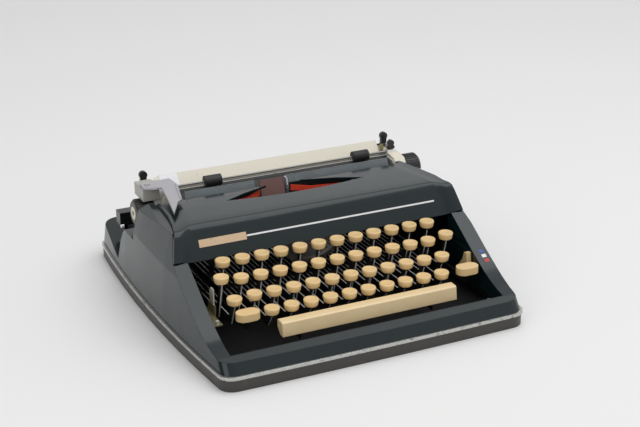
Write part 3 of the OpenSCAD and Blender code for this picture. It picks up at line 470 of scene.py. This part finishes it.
OLIVE = Worn(
    "olive_zinc",
    (0.34, 0.3, 0.17),
    roughness=0.45, variation=0.15, edge=0.3 * MM, metallic=0.5, worn=(0.12, 0.1, 0.06), amount=0.4,
)
WHITE = Finish("white_paint", (0.82, 0.83, 0.84), roughness=0.35, variation=0.05, edge=0.2 * MM)
RED = Finish("red_paint", (0.55, 0.03, 0.02), roughness=0.4, variation=0.1, edge=0.2 * MM)
BLUE = Finish("blue_paint", (0.03, 0.09, 0.35), roughness=0.4, variation=0.1, edge=0.2 * MM)
TAN = Worn(
    "plate_tan",
    (0.72, 0.53, 0.35),
    roughness=0.35, variation=0.1, edge=0.2 * MM, metallic=0.35, worn=(0.25, 0.16, 0.1), amount=0.35,
)
LILAC = Worn(
    "return_lever_grey",
    (0.5, 0.49, 0.52),
    roughness=0.34, variation=0.08, edge=0.4 * MM, metallic=0.55, worn=(0.25, 0.24, 0.25), amount=0.3,
)
MAROON = Finish("guide_maroon_paint", (0.17, 0.08, 0.07), roughness=0.5, variation=0.15)
RIBBON = Cloth("inked_ribbon", (0.012, 0.011, 0.012), roughness=0.75, upper=(0.82, 0.062, 0.02))
HOLDER = Clear("holder_clear_plastic", (0.32, 0.37, 0.39), roughness=0.18)
BRASS = Worn(
    "bell_brass",
    (0.5, 0.36, 0.16),
    roughness=0.32, variation=0.15, edge=0.3 * MM, metallic=1.0, worn=(0.15, 0.1, 0.05), amount=0.35,
)


# Meshes


def block(bm: bmesh.types.BMesh, low: Point3, high: Point3, index: int = 0) -> None:
    """Adds a box between two corners, in millimetres."""
    outline = [(low[0], low[1]), (high[0], low[1]), (high[0], high[1]), (low[0], high[1])]
    prism(bm, outline, low[2], high[2], "Z", index)


def prism(
    bm: bmesh.types.BMesh,
    points: Sequence[Point2],
    low: float,
    high: float,
    axis: str,
    index: int = 0,
) -> None:
    """Adds a flat shape drawn out along an axis.

    Args:
        bm: Mesh that gets the faces.
        points: Outline in millimetres, anticlockwise as seen from the far end of the axis.
        low: Start along the axis in millimetres.
        high: End along the axis in millimetres.
        axis: "X" for an outline in Y and Z, "Z" for one in X and Y.
        index: Material number of the faces.
    """
    rings = []
    for place in (low, high):
        ring = [(place, a, b) if axis == "X" else (a, b, place) for a, b in points]
        rings.append([bm.verts.new(Vector(point) * MM) for point in ring])
    close_rings(bm, rings[0], rings[1], index)


def close_rings(
    bm: bmesh.types.BMesh, first: list[bmesh.types.BMVert], last: list[bmesh.types.BMVert], index: int
) -> None:
    """Joins two rings of corners to a closed shape, of one material number."""
    count = len(first)
    faces = [first[::-1], last]
    for i in range(count):
        j = (i + 1) % count
        faces.append([first[i], first[j], last[j], last[i]])
    for corners in faces:
        bm.faces.new(corners).material_index = index


def bar(bm: bmesh.types.BMesh, place: Matrix, radius: float, depth: float, index: int = 0) -> None:
    """Adds a round bar along the Z axis of a placing, with its sizes in millimetres."""
    size = radius * MM
    made = bmesh.ops.create_cone(
        bm,
        cap_ends=True,
        segments=ROUND_SEGMENTS,
        radius1=size,
        radius2=size,
        depth=depth * MM,
        matrix=place,
    )
    for face in {face for vert in made["verts"] for face in vert.link_faces}:
        face.material_index = index


def disc(
    bm: bmesh.types.BMesh, axis: str, centre: Point3, radius: float, depth: float, index: int = 0
) -> None:
    """Adds a round bar about its centre along X or Z, in millimetres."""
    turn = Matrix.Rotation(math.pi / 2, 4, "Y") if axis == "X" else Matrix()
    bar(bm, Matrix.Translation(Vector(centre) * MM) @ turn, radius, depth, index)


def finished(
    name: str, bm: bmesh.types.BMesh, finishes: Sequence[Finish], body: str, angle: float = SMOOTH_ANGLE
) -> bpy.types.Object:
    """Turns a bmesh into a piece of the scene.

    Args:
        name: Name of the piece.
        bm: Its mesh in the frame of the part, in metres; it is freed.
        finishes: Finishes in the order of the faces' material numbers.
        body: Body that the piece rides on.
        angle: Edges sharper than this, in degrees, stay sharp.

    Returns:
        The object.
    """
    mesh = bpy.data.meshes.new(name)
    bm.to_mesh(mesh)
    bm.free()
    for finish in finishes:
        mesh.materials.append(finish.material())
    mesh.shade_smooth()
    mesh.set_sharp_from_angle(angle=math.radians(angle))
    obj = bpy.data.objects.new(name, mesh)
    bpy.context.scene.collection.objects.link(obj)
    weigh = obj.modifiers.new("weigh", "WEIGHTED_NORMAL")
    weigh.keep_sharp = True
    bpy.context.view_layer.update()
    plain = bpy.data.meshes.new_from_object(obj.evaluated_get(bpy.context.evaluated_depsgraph_get()))
    obj.modifiers.clear()
    obj.data = plain
    plain.name = name
    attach(obj, body)
    LOG.info("%s rides on %s, %d faces", name, body, len(plain.polygons))
    return obj


def groups(bm: bmesh.types.BMesh) -> Iterable[list[bmesh.types.BMFace]]:
    """Gives each connected group of faces of a mesh."""
    seen: set[int] = set()
    for start in bm.faces:
        if start.index in seen:
            continue
        seen.add(start.index)
        found, queue = [], [start]
        while queue:
            face = queue.pop()
            found.append(face)
            for edge in face.edges:
                for other in edge.link_faces:
                    if other.index not in seen:
                        seen.add(other.index)
                        queue.append(other)
        yield found


def extent(faces: Iterable[bmesh.types.BMFace]) -> tuple[Vector, Vector]:
    """Low and high corners of some faces."""
    places = [vert.co for face in faces for vert in face.verts]
    low = Vector([min(place[i] for place in places) for i in range(3)])
    high = Vector([max(place[i] for place in places) for i in range(3)])
    return low, high


def cad_mesh(frame: dict[str, Any], node: str) -> bmesh.types.BMesh:
    """Copies the mesh of a CAD node, in the frame of the part and with its corners merged."""
    bm = bmesh.new()
    source = frame["nodes"][node]
    bm.from_mesh(source.data)
    bm.transform(source.matrix_world)
    bmesh.ops.remove_doubles(bm, verts=bm.verts, dist=MERGE_GAP)
    return bm


def clad(
    frame: dict[str, Any],
    node: str,
    finishes: Sequence[Finish],
    choose: Chooser | None = None,
    picked: FacePick | None = None,
    angle: float = SMOOTH_ANGLE,
) -> bpy.types.Object:
    """Dresses a CAD node by a merged copy with smooth shading, one finish for each of its solids.

    Args:
        node: Name of the CAD node.
        finishes: Finishes that are used.
        choose: Gives the number of the finish from a solid's low and high corners.
        picked: Tells from a face's finish number, middle and normal whether it gets the last finish.
        angle: Edges sharper than this, in degrees, stay sharp.

    Returns:
        The piece that stands for the node.
    """
    bm = cad_mesh(frame, node)
    bmesh.ops.dissolve_limit(bm, angle_limit=math.radians(FLAT_ANGLE), verts=bm.verts, edges=bm.edges)
    bm.faces.index_update()
    bm.normal_update()
    for faces in groups(bm):
        index = choose(*extent(faces)) if choose else 0
        for face in faces:
            face.material_index = index
            if picked and picked(index, face.calc_center_median(), face.normal):
                face.material_index = len(finishes) - 1
    obj = finished(f"{node}_dressed", bm, finishes, BODY_OF[node], angle)
    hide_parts(node)
    return obj


def fitted(name: str, bm: bmesh.types.BMesh, finishes: Sequence[Finish], body: str) -> None:
    """Makes a new piece of trim, with its face normals set outward."""
    bmesh.ops.recalc_face_normals(bm, faces=bm.faces)
    obj = finished(name, bm, finishes, body)


@dataclass(frozen=True)
class RibRing:
    """Ribs round the two platen knobs, repeated by a node group."""

    count: int = 30
    radius: float = 12.8 * MM
    length: float = 13.5 * MM
    width: float = 1.3 * MM
    height: float = 1.2 * MM
    middles: tuple[Point3, Point3] = ((-0.1336, 0.076, 0.075), (0.1586, 0.076, 0.075))

    def group(self) -> bpy.types.GeometryNodeTree:
        """Makes the node group, with its sizes as named inputs."""
        tree = bpy.data.node_groups.new("knob_ribs", "GeometryNodeTree")
        kinds = {
            "Count": "Int",
            "Radius": "Float",
            "Rib Size": "Vector",
            "Left Middle": "Vector",
            "Right Middle": "Vector",
            "Material": "Material",
        }
        for name, kind in kinds.items():
            tree.interface.new_socket(name, in_out="INPUT", socket_type="NodeSocket" + kind)
        tree.interface.new_socket("Geometry", in_out="OUTPUT", socket_type="NodeSocketGeometry")

        def add(kind: str, links: dict[str | int, Any], **settings: Any) -> bpy.types.Node:
            """Adds a node, with links or values on its inputs."""
            made = tree.nodes.new(kind)
            for key, value in settings.items():
                setattr(made, key, value)
            for key, value in links.items():
                if isinstance(value, bpy.types.NodeSocket):
                    tree.links.new(value, made.inputs[key])
                else:
                    made.inputs[key].default_value = value
            return made

        given = tree.nodes.new("NodeGroupInput").outputs
        index = add("GeometryNodeInputIndex", {}).outputs[0]
        turn = add("ShaderNodeMath", {0: index, 1: given["Count"]}, operation="DIVIDE").outputs[0]
        angle = add("ShaderNodeMath", {0: turn, 1: math.tau}, operation="MULTIPLY").outputs[0]
        cosine = add("ShaderNodeMath", {0: angle}, operation="COSINE").outputs[0]
        sine = add("ShaderNodeMath", {0: angle}, operation="SINE").outputs[0]
        round_x = add("ShaderNodeCombineXYZ", {1: cosine, 2: sine}).outputs[0]
        scaled = {0: round_x, "Scale": given["Radius"]}
        place = add("ShaderNodeVectorMath", scaled, operation="SCALE").outputs[0]
        points = add("GeometryNodePoints", {"Count": given["Count"], "Position": place}).outputs[0]
        rib = add("GeometryNodeMeshCube", {"Size": given["Rib Size"]}).outputs[0]
        tilt = add("ShaderNodeCombineXYZ", {0: angle}).outputs[0]
        placed = {"Points": points, "Instance": rib, "Rotation": tilt}
        ring = add("GeometryNodeInstanceOnPoints", placed).outputs[0]
        join = tree.nodes.new("GeometryNodeJoinGeometry")
        for side in ("Left Middle", "Right Middle"):
            shift = {"Geometry": ring, "Translation": given[side]}
            moved = add("GeometryNodeTransform", shift).outputs[0]
            tree.links.new(moved, join.inputs[0])
        real = add("GeometryNodeRealizeInstances", {"Geometry": join.outputs[0]}).outputs[0]
        coated = {"Geometry": real, "Material": given["Material"]}
        painted = add("GeometryNodeSetMaterial", coated).outputs[0]
        tree.links.new(painted, tree.nodes.new("NodeGroupOutput").inputs[0])
        return tree

    def build(self, body: str, slot: str) -> None:
        """Makes the ribs as one mesh, riding on a body."""
        tree = self.group()
        obj = bpy.data.objects.new("knob_ribs", bpy.data.meshes.new("knob_ribs_seed"))
        bpy.context.scene.collection.objects.link(obj)
        modifier = obj.modifiers.new("ribs", "NODES")
        modifier.node_group = tree
        values = {
            "Count": self.count,
            "Radius": self.radius,
            "Rib Size": (self.length, self.height, self.width),
            "Left Middle": self.middles[0],
            "Right Middle": self.middles[1],
            "Material": KNOB.material(),
        }
        for item in tree.interface.items_tree:
            if item.item_type == "SOCKET" and item.in_out == "INPUT":
                modifier[item.identifier] = values[item.name]
        bpy.context.view_layer.update()
        plain = bpy.data.meshes.new_from_object(obj.evaluated_get(bpy.context.evaluated_depsgraph_get()))
        obj.modifiers.clear()
        obj.data = plain
        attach(obj, body)
        LOG.info("knob ribs: %d faces", len(plain.polygons))


def lever_or_cap(low: Vector, high: Vector) -> int:
    """Second finish for a thin lever, first for a cap."""
    return 1 if high.x - low.x < LEVER_LIMIT else 0


# Sub-assemblies


@dataclass
class Case:
    """Tray, edging, shell and ribbon cover, with the marks and the pin on the shell."""

    tray_half: Point2 = (0.158, 0.168)
    tray_floor: float = 5 * MM
    floor_normal: float = 0.9
    wall_normal: float = 0.5
    underside_normal: float = -0.25
    shell_angle: float = 16.0
    plate_limit: float = 4 * MM
    trim_shares: Point2 = (0.68, 0.84)
    mark_x: float = 142.0
    mark_half: Point2 = (2.3, 1.9)
    mark_lifts: Point2 = (-0.2, 0.1)
    marks: tuple[tuple[Finish, float, float], ...] = (
        (BLUE, -97.0, 48.4),
        (WHITE, -102.5, 45.9),
        (RED, -108.0, 43.5),
    )
    pin: Rod = ((-149.6, 92.0, 57.0), 1.6, 3.0)

    def build(self, frame: dict[str, Any]) -> None:
        """Dresses the case."""
        # Faces inside the tray get the black lining, partly a real liner and partly painted shade.
        clad(frame, "base_tray", [TRAY, LINER_AND_SHADE], picked=self.inside)
        clad(frame, "base_bead", [BEAD])
        clad(frame, "tray_bushes", [RUBBER])
        # Faces of the shell that look down into the case get the black finish as painted shade.
        shell = clad(frame, "body_shell", [SHELL, LINER_AND_SHADE], picked=self.shaded_underside, angle=self.shell_angle)
        clad(frame, "ribbon_cover", [SHELL])
        self.slim(clad(frame, "cover_trim", [WHITE, TAN], self.stripe_or_plate))
        self.selector_marks(shell)
        self.side_pin()

    def stripe_or_plate(self, low: Vector, high: Vector) -> int:
        """First finish for the stripe of the cover, second for its name plate."""
        return 1 if high.z - low.z > self.plate_limit else 0

    def slim(self, trim: bpy.types.Object) -> None:
        """Narrows the stripe and the name plate about their own middles, up the face that they lie on.

        Args:
            trim: Dressed trim, with the stripe as its first finish and the plate as its second.
        """
        mesh = trim.data
        front = max(mesh.polygons, key=lambda face: face.area).normal
        up = Vector((1.0, 0.0, 0.0)).cross(front).normalized()
        for index, share in enumerate(self.trim_shares):
            faces = [face for face in mesh.polygons if face.material_index == index]
            used = sorted({vertex for face in faces for vertex in face.vertices})
            places = [mesh.vertices[vertex].co.dot(up) for vertex in used]
            middle = (min(places) + max(places)) / 2
            for vertex, place in zip(used, places):
                mesh.vertices[vertex].co += up * ((place - middle) * (share - 1))

    def shaded_underside(self, index: int, middle: Vector, normal: Vector) -> bool:
        """Whether a face of the shell looks down into the case, where it is painted black as shade."""
        return normal.z < self.underside_normal

    def inside(self, index: int, middle: Vector, normal: Vector) -> bool:
        """Whether a face of the tray looks into it, where it gets the black lining, which is partly
        painted shade.
        """
        flat = Vector((middle.x / self.tray_half[0], middle.y / self.tray_half[1], 0.0))
        floor = normal.z > self.floor_normal and middle.z < self.tray_floor
        return floor or (abs(normal.z) < self.wall_normal and normal.dot(flat) < 0)

    def selector_marks(self, shell: bpy.types.Object) -> None:
        """Adds the three painted marks beside the ribbon selector, on the shell as the camera sees them.

        Args:
            shell: Dressed shell that they lie on.
        """
        places = [vertex.co for vertex in shell.data.vertices]
        tree = BVHTree.FromPolygons(places, [list(face.vertices) for face in shell.data.polygons])
        eye = Studio().eye
        bm = bmesh.new()
        for index, (_, y, z) in enumerate(self.marks):
            hit, normal, _, _ = tree.ray_cast(eye, Vector((self.mark_x, y, z)) * MM - eye)
            across = (Vector((1.0, 0.0, 0.0)) - normal * normal.x).normalized()
            up = normal.cross(across)
            rings = []
            for lift in self.mark_lifts:
                ring = []
                for a, b in ((-1, -1), (1, -1), (1, 1), (-1, 1)):
                    flat = across * (a * self.mark_half[0]) + up * (b * self.mark_half[1])
                    ring.append(bm.verts.new(hit + (flat + normal * lift) * MM))
                rings.append(ring)
            close_rings(bm, rings[0], rings[1], index)
        fitted("selector_marks", bm, [mark[0] for mark in self.marks], "root")

    def side_pin(self) -> None:
        """Adds the small bright pin low on the left side."""
        bm = bmesh.new()
        disc(bm, "X", *self.pin)
        fitted("side_pin", bm, [STEEL], "root")


@dataclass
class Chassis:
    """Frame, rail and the inner works behind the keys."""

    shade_strip_spans: tuple[Point2, ...] = ((-92.0, -25.5), (9.5, 78.0))
    shade_strip_y: Point2 = (48.9, 49.5)
    shade_strip_z: Point2 = (62.0, 90.6)
    wire_bends: tuple[Point3, ...] = (
        (5.6, 52.0, 96.4),
        (6.6, 51.8, 96.2),
        (7.4, 51.4, 95.2),
        (7.9, 50.8, 93.6),
        (8.1, 50.4, 91.6),
        (8.1, 50.0, 88.0),
    )
    wire_half: float = 0.45
    wire_tilt: float = 0.3
    plate_outline: tuple[Point2, ...] = ((-75, 37), (-66, 37), (-66, 50), (-69, 53), (-75, 53))
    plate_x: Point2 = (-121.6, -120.4)
    bracket: tuple[Plate, ...] = (
        (1, (-131, -98, 28), (-122, -57, 29.2)),
        (1, (-121.9, -78, 28.4), (-120.4, -62, 38)),
        (1, (-135.2, -98, 12), (-131, -92, 29.2)),
    )
    bracket_pin: Rod = ((-126, -95, 30.5), 1.6, 3.4)

    def build(self, frame: dict[str, Any]) -> None:
        """Dresses the chassis."""
        for node in ("chassis_frame", "key_comb", "carriage_rail"):
            clad(frame, node, [BLACK])
        for node in ("chassis_screws", "lever_shaft", "mainspring_drum"):
            clad(frame, node, [STEEL])
        clad(frame, "bell", [BRASS])
        clad(frame, "card_holders", [HOLDER])
        clad(frame, "ribbon", [RIBBON])
        for node in ("type_segment", "typebars"):
            clad(frame, node, [DARK_STEEL])
        clad(frame, "ribbon_guide", [MAROON])
        for node in ("ribbon_spool_left", "ribbon_spool_right"):
            clad(frame, node, [BLACK])
        self.left_bracket()
        # Painted shade: black strips that close the view behind the cover.
        self.shade_strips()
        self.guide_wire()

    def shade_strips(self) -> None:
        """Adds black strips of painted shade that close the view under the fingers of the cover."""
        bm = bmesh.new()
        for low, high in self.shade_strip_spans:
            block(bm, (low, self.shade_strip_y[0], self.shade_strip_z[0]), (high, self.shade_strip_y[1], self.shade_strip_z[1]))
        fitted("cover_shade_strips", bm, [LINER_AND_SHADE], "root")

    def guide_wire(self) -> None:
        """Adds the bright bent wire beside the ribbon guide."""
        bm = bmesh.new()
        half, tilt = self.wire_half, self.wire_tilt
        section = ((-half, -half, 0.0), (half, -half, tilt), (half, half, tilt), (-half, half, 0.0))
        rings = []
        for bend in self.wire_bends:
            rings.append([bm.verts.new((Vector(bend) + Vector(corner)) * MM) for corner in section])
        for first, last in zip(rings, rings[1:]):
            for i in range(4):
                bm.faces.new([first[i], first[(i + 1) % 4], last[(i + 1) % 4], last[i]])
        bm.faces.new(rings[0])
        bm.faces.new(rings[-1])
        fitted("guide_wire", bm, [WHITE], "root")

    def left_bracket(self) -> None:
        """Adds the pale plate, the olive bracket and the pin that show inside the well at the left."""
        bm = bmesh.new()
        prism(bm, self.plate_outline, self.plate_x[0], self.plate_x[1], "X", 0)
        for index, low, high in self.bracket:
            block(bm, low, high, index)
        disc(bm, "Z", *self.bracket_pin, 2)
        fitted("left_bracket", bm, [IVORY, OLIVE, STEEL], "root")


@dataclass
class Keyboard:
    """Keys, space bar, shift keys and selector."""

    stub_radius: float = 2.6
    stub_depth: float = 3.4
    stub_back: float = 0.4
    stub_up: float = -0.6
    shift_cap: Point2 = (10 * MM, 8 * MM)
    side_normal: float = 0.95

    def build(self, frame: dict[str, Any]) -> None:
        """Dresses the keyboard."""
        names = [n for n in frame["nodes"] if n.startswith("keys_")]
        # Flat sides of the key levers, and the thin arms of the space bar and shift keys, take the dark
        # lever finish as painted shade.
        for node in sorted(names) + ["margin_release_key", "backspace_key", "shift_lock"]:
            clad(frame, node, [CREAM, STEEL, LEVER_SHADE], lever_or_cap, self.lever_shaded_side)
        clad(frame, "space_bar", [BAR, LEVER_SHADE], lever_or_cap)
        clad(frame, "shift_keys", [CREAM, LEVER_SHADE], self.shift_solid)
        clad(frame, "ribbon_selector", [CREAM])
        for node in sorted(names):
            self.stubs(frame, node)

    def stubs(self, frame: dict[str, Any], node: str) -> None:
        """Adds the short collar under each cap of a node, round its lever, painted black as the shade
        under the cap.

        Args:
            node: Name of the node of keys.
        """
        bm = bmesh.new()
        source = cad_mesh(frame, node)
        source.faces.index_update()
        for faces in groups(source):
            low, high = extent(faces)
            if lever_or_cap(low, high) == 0:
                middle = (low + high) / (2 * MM)
                centre = (middle.x, middle.y + self.stub_back, low.z / MM + self.stub_up)
                disc(bm, "Z", centre, self.stub_radius, self.stub_depth)
        source.free()
        # The collars take the black knob finish as painted shade under the caps.
        fitted(f"{node}_stubs", bm, [KNOB], BODY_OF[node])

    def lever_shaded_side(self, index: int, middle: Vector, normal: Vector) -> bool:
        """Whether a face is a flat side of a lever, painted dark as shade while its edges stay bright."""
        return index == 1 and abs(normal.x) > self.side_normal

    def shift_solid(self, low: Vector, high: Vector) -> int:
        """First finish for the oval caps of the shift keys, second for their arms and rod."""
        size = high - low
        return 0 if size.y > self.shift_cap[0] and size.z < self.shift_cap[1] else 1


@dataclass
class Carriage:
    """Carriage with platen, knobs, bail, paper table and levers."""

    table_foot: Point2 = (92.3, 88.0)
    table_tip: Point2 = (103.0, 98.8)
    plate_x: Point2 = (-106.6, -88.0)
    plate_ends: Point2 = (0.04, 0.97)
    plate_sides: Point2 = (-0.2, 0.35)
    ear_x: float = -109.0
    ear_spot: Point2 = (0.62, -0.4)
    ear_size: Point2 = (4.6, 1.2)
    face: Rod = ((-142.6, 76.0, 75.0), 6.5, 0.8)
    hub: Rod = ((-142.8, 76.0, 75.0), 2.2, 1.2)
    trim: tuple[Plate, ...] = (
        (0, (-117.0, 60.2, 84.0), (-112.3, 63.5, 92.0)),
        (1, (133.6, 92.0, 90.0), (137.5, 93.4, 97.5)),
        (2, (139.0, 84.5, 90.6), (148.6, 87.6, 91.5)),
        (3, (143.5, 97.0, 90.6), (148.9, 100.5, 95.0)),
    )
    fold: tuple[Point2, ...] = ((-113.6, 24.0), (-112.2, 24.0), (-103.6, 60.0), (-105.0, 60.0))
    fold_z: Point2 = (103.3, 104.3)

    def build(self, frame: dict[str, Any]) -> None:
        """Dresses the carriage."""
        clad(frame, "carriage_frame", [GREY])
        clad(frame, "carriage_ends", [GREY, IVORY], lambda low, high: 1 if low.x > 0 else 0)
        clad(frame, "paper_table", [IVORY])
        clad(frame, "return_lever", [LILAC])
        clad(frame, "platen", [PLATEN])
        clad(frame, "platen_knobs", [KNOB])
        clad(frame, "paper_bail", [BAIL])
        for node in ("bail_rollers", "feed_rollers"):
            clad(frame, node, [RUBBER])
        levers = ("carriage_release_levers", "paper_release_lever")
        for node in (*levers, "margin_stop_left", "margin_stop_right"):
            clad(frame, node, [KNOB])
        RibRing().build("platen_roll", "knob_black")
        self.knob_face()
        self.table_plate()
        self.end_trim()
        self.lever_fold()

    def knob_face(self) -> None:
        """Adds the pale disc on the end of the left knob, with its dark hub."""
        bm = bmesh.new()
        disc(bm, "X", *self.face)
        disc(bm, "X", *self.hub, 1)
        fitted("knob_face", bm, [IVORY, DARK_STEEL], "platen_roll")

    def on_table(self, along: float, out: float) -> Point2:
        """Depth and height of a point a share up the paper table and a distance in front of it."""
        (y_1, z_1), (y_2, z_2) = self.table_foot, self.table_tip
        run, rise = y_2 - y_1, z_2 - z_1
        size = math.hypot(run, rise)
        return (y_1 + run * along - out * rise / size, z_1 + rise * along + out * run / size)

    def table_plate(self) -> None:
        """Adds the white plate at the left of the paper table and the rounded ear beyond it."""
        bm = bmesh.new()
        (start, end), (under, over) = self.plate_ends, self.plate_sides
        spots = ((start, under), (end, under), (end, over), (start, over))
        corners = [self.on_table(*spot) for spot in spots]
        prism(bm, corners, self.plate_x[0], self.plate_x[1], "X", 0)
        middle = Vector((self.ear_x, *self.on_table(*self.ear_spot))) * MM
        (y_1, z_1), (y_2, z_2) = self.table_foot, self.table_tip
        tilt = Matrix.Rotation(math.atan2(z_2 - z_1, y_2 - y_1), 4, "X")
        bar(bm, Matrix.Translation(middle) @ tilt, *self.ear_size, 1)
        fitted("table_plate", bm, [WHITE, IVORY], "carriage")

    def end_trim(self) -> None:
        """Adds the small plates and tips at the two ends of the carriage."""
        bm = bmesh.new()
        for index, low, high in self.trim:
            block(bm, low, high, index)
        fitted("carriage_trim", bm, [IVORY, OLIVE, WHITE, GREY], "carriage")

    def lever_fold(self) -> None:
        """Adds the raised fold along the right edge of the return lever."""
        bm = bmesh.new()
        prism(bm, self.fold, self.fold_z[0], self.fold_z[1], "Z")
        fitted("lever_fold", bm, [LILAC], "return_lever")


@dataclass
class Studio:
    """Pale floor, soft light and the camera at the photograph's angle."""

    eye: Vector = field(default_factory=lambda: Vector((-526.9, -1140.8, 583.5)) * MM)
    look: Vector = field(default_factory=lambda: Vector((0.4007, 0.8364, -0.374)))
    roll: float = -0.2
    focal_px: float = 1416.9
    frame_px: float = 640.0
    sensor: float = 36.0
    floor_half: float = 6.0
    floor_tone: Colour = (0.83, 0.83, 0.83)
    floor_roughness: float = 0.6
    backdrop: Colour = (1.0, 1.0, 1.0)
    horizon: tuple[float, Colour] = (0.05, (0.5, 0.51, 0.52))
    overhead: tuple[float, Colour] = (0.38, (0.97, 0.97, 0.97))
    lean: Point2 = (0.6, 1.15)
    strength: float = 0.8
    lamps: tuple[tuple[str, Point3, float, float], ...] = (
        ("key_light", (0.5, -0.3, 1.9), 1.6, 15.0),
        ("fill_light", (-1.7, -0.9, 1.1), 1.2, 6.0),
    )

    def build(self) -> None:
        """Makes the floor, the lamps, the world and the camera."""
        self.floor()
        self.world()
        for name, place, size, power in self.lamps:
            self.lamp(name, Vector(place), size, power)
        self.camera()

    def floor(self) -> None:
        """Makes the floor."""
        bm = bmesh.new()
        bmesh.ops.create_grid(bm, x_segments=1, y_segments=1, size=self.floor_half)
        mesh = bpy.data.meshes.new("floor")
        bm.to_mesh(mesh)
        bm.free()
        surface = Surface("floor_white", 0.1 * MM)
        surface.set("Base Color", self.floor_tone)
        surface.set("Roughness", self.floor_roughness)
        mesh.materials.append(surface.material)
        obj = bpy.data.objects.new("floor", mesh)
        bpy.context.scene.collection.objects.link(obj)

    def world(self) -> None:
        """Makes the light from all round, brighter overhead and at the right; the camera sees white."""
        world = bpy.data.worlds.new("studio")
        bpy.context.scene.world = world
        world.use_nodes = True
        tree = world.node_tree
        back = tree.nodes["Background"]
        height = tree.nodes.new("ShaderNodeSeparateXYZ")
        tree.links.new(tree.nodes.new("ShaderNodeTexCoord").outputs["Generated"], height.inputs[0])
        ramp = tree.nodes.new("ShaderNodeValToRGB")
        for element, (place, colour) in zip(ramp.color_ramp.elements, (self.horizon, self.overhead)):
            element.position = place
            element.color = (*colour, 1.0)
        tree.links.new(height.outputs["Z"], ramp.inputs[0])
        side = tree.nodes.new("ShaderNodeMapRange")
        tree.links.new(height.outputs["X"], side.inputs["Value"])
        left, right = self.lean
        for name, value in {"From Min": -1.0, "From Max": 1.0, "To Min": left, "To Max": right}.items():
            side.inputs[name].default_value = value
        leaned = tree.nodes.new("ShaderNodeVectorMath")
        leaned.operation = "SCALE"
        tree.links.new(ramp.outputs[0], leaned.inputs[0])
        tree.links.new(side.outputs[0], leaned.inputs["Scale"])
        seen = tree.nodes.new("ShaderNodeMix")
        seen.data_type = "RGBA"
        tree.links.new(tree.nodes.new("ShaderNodeLightPath").outputs["Is Camera Ray"], seen.inputs[0])
        tree.links.new(leaned.outputs[0], seen.inputs[6])
        seen.inputs[7].default_value = (*self.backdrop, 1.0)
        tree.links.new(seen.outputs[2], back.inputs["Color"])
        back.inputs["Strength"].default_value = self.strength

    def lamp(self, name: str, place: Vector, size: float, power: float) -> None:
        """Makes a square lamp that looks at the object."""
        data = bpy.data.lights.new(name, "AREA")
        data.size = size
        data.energy = power
        obj = bpy.data.objects.new(name, data)
        obj.location = place
        obj.rotation_euler = (-place).to_track_quat("-Z", "Y").to_euler()
        bpy.context.scene.collection.objects.link(obj)

    def camera(self) -> None:
        """Makes the camera."""
        data = bpy.data.cameras.new("camera")
        data.sensor_width = self.sensor
        data.lens = self.focal_px / self.frame_px * data.sensor_width
        obj = bpy.data.objects.new("camera", data)
        aim = self.look.to_track_quat("-Z", "Y").to_matrix()
        turn = aim @ Matrix.Rotation(math.radians(self.roll), 3, "Z")
        obj.matrix_world = Matrix.Translation(self.eye) @ turn.to_4x4()
        bpy.context.scene.collection.objects.link(obj)
        bpy.context.scene.camera = obj
        bpy.context.scene.view_settings.view_transform = "Standard"


def main() -> None:
    """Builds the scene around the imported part."""
    logging.basicConfig(level=logging.INFO, format="%(message)s")
    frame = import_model()
    for body, nodes in frame["record"]["behaviour"]["bodies"].items():
        BODY_OF.update({node: body for node in nodes})
    for assembly in (Case(), Chassis(), Keyboard(), Carriage()):
        assembly.build(frame)
    Studio().build()


if __name__ == "__main__":
    main()
